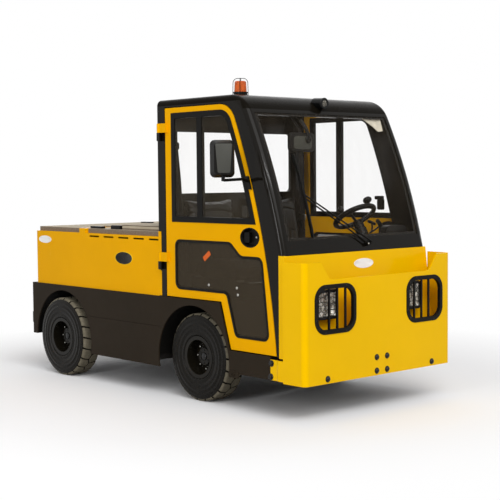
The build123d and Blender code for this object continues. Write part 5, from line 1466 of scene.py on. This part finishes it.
def add_strip(name, place, size, power):
    """A narrow soft box aimed at the cab, which draws thin highlights along rounded edges."""
    light = bpy.data.lights.new(name, "AREA")
    light.shape = "RECTANGLE"
    light.size, light.size_y = size
    light.energy = power
    lamp = bpy.data.objects.new(name, light)
    scene.collection.objects.link(lamp)
    towards = Vector((0.4, 0, 1.1)) - Vector(place)
    lamp.matrix_world = frame_at(place, -towards)
    return lamp


def add_floor():
    """A white floor that runs to the horizon and keeps the vehicle's shadow."""
    bm = bmesh.new()
    bmesh.ops.create_grid(bm, x_segments=1, y_segments=1, size=90)
    mesh = bpy.data.meshes.new("floor")
    bm.to_mesh(mesh)
    bm.free()
    floor = bpy.data.objects.new("floor", mesh)
    scene.collection.objects.link(floor)
    n = Nodes("floor")
    rays = n.add("ShaderNodeLightPath")
    seen = n.maths("MAXIMUM", rays.outputs["Is Camera Ray"], rays.outputs["Is Transmission Ray"])
    seen = n.maths("MAXIMUM", seen, rays.outputs["Is Glossy Ray"])
    place = n.axes()
    distance = n.maths("SQRT", n.maths("ADD", n.maths("POWER", place[0], 2), n.maths("POWER", place[1], 2)))
    n.put(
        Base_Color=n.mix(seen, (0.55, 0.55, 0.55), (0.92, 0.92, 0.93)),
        Roughness=n.span(n.noise(3), 0.3, 0.7, 0.85, 0.95),
        Specular_IOR_Level=0.0,
    )
    glow = n.add("ShaderNodeEmission")
    far = n.span(distance, 2.0, 3.5, 0.0, 1.0)
    both = n.add("ShaderNodeMixShader")
    n.link(n.maths("MULTIPLY", seen, far), both.inputs[0])
    n.link(n.shader.outputs[0], both.inputs[1])
    n.link(glow.outputs[0], both.inputs[2])
    n.link(both.outputs[0], n.tree.nodes["Material Output"].inputs["Surface"])
    mesh.materials.append(n.material)


def set_world():
    """Soft white light from all round, with a white background for camera, gloss and glass."""
    world = bpy.data.worlds.new("world")
    scene.world = world
    world.use_nodes = True
    tree = world.node_tree
    back = tree.nodes["Background"]
    back.inputs["Color"].default_value = (1, 1, 1, 1)
    rays = tree.nodes.new("ShaderNodeLightPath")
    most = rays.outputs["Is Camera Ray"]
    for kind in ("Is Transmission Ray", "Is Glossy Ray"):
        node = tree.nodes.new("ShaderNodeMath")
        node.operation = "MAXIMUM"
        tree.links.new(most, node.inputs[0])
        tree.links.new(rays.outputs[kind], node.inputs[1])
        most = node.outputs[0]
    level = tree.nodes.new("ShaderNodeMapRange")
    level.inputs["To Min"].default_value = 0.38
    level.inputs["To Max"].default_value = 1.0
    tree.links.new(most, level.inputs["Value"])
    tree.links.new(level.outputs["Result"], back.inputs["Strength"])


scene.view_settings.view_transform = "Standard"
add_camera()
add_floor()
set_world()
add_sun("key", (0.80, -0.30, 0.85), 1.75, 50)
add_sun("side", (0.10, -0.85, 0.55), 0.10, 50)
add_sun("rear_fill", (-0.7, 0.7, 0.6), 0.5, 60)
add_strip("tall_strip", (2.2, -6.4, 1.9), (0.5, 3.2), 105)
add_strip("long_strip", (5.5, -2.2, 4.6), (3.6, 0.10), 55)
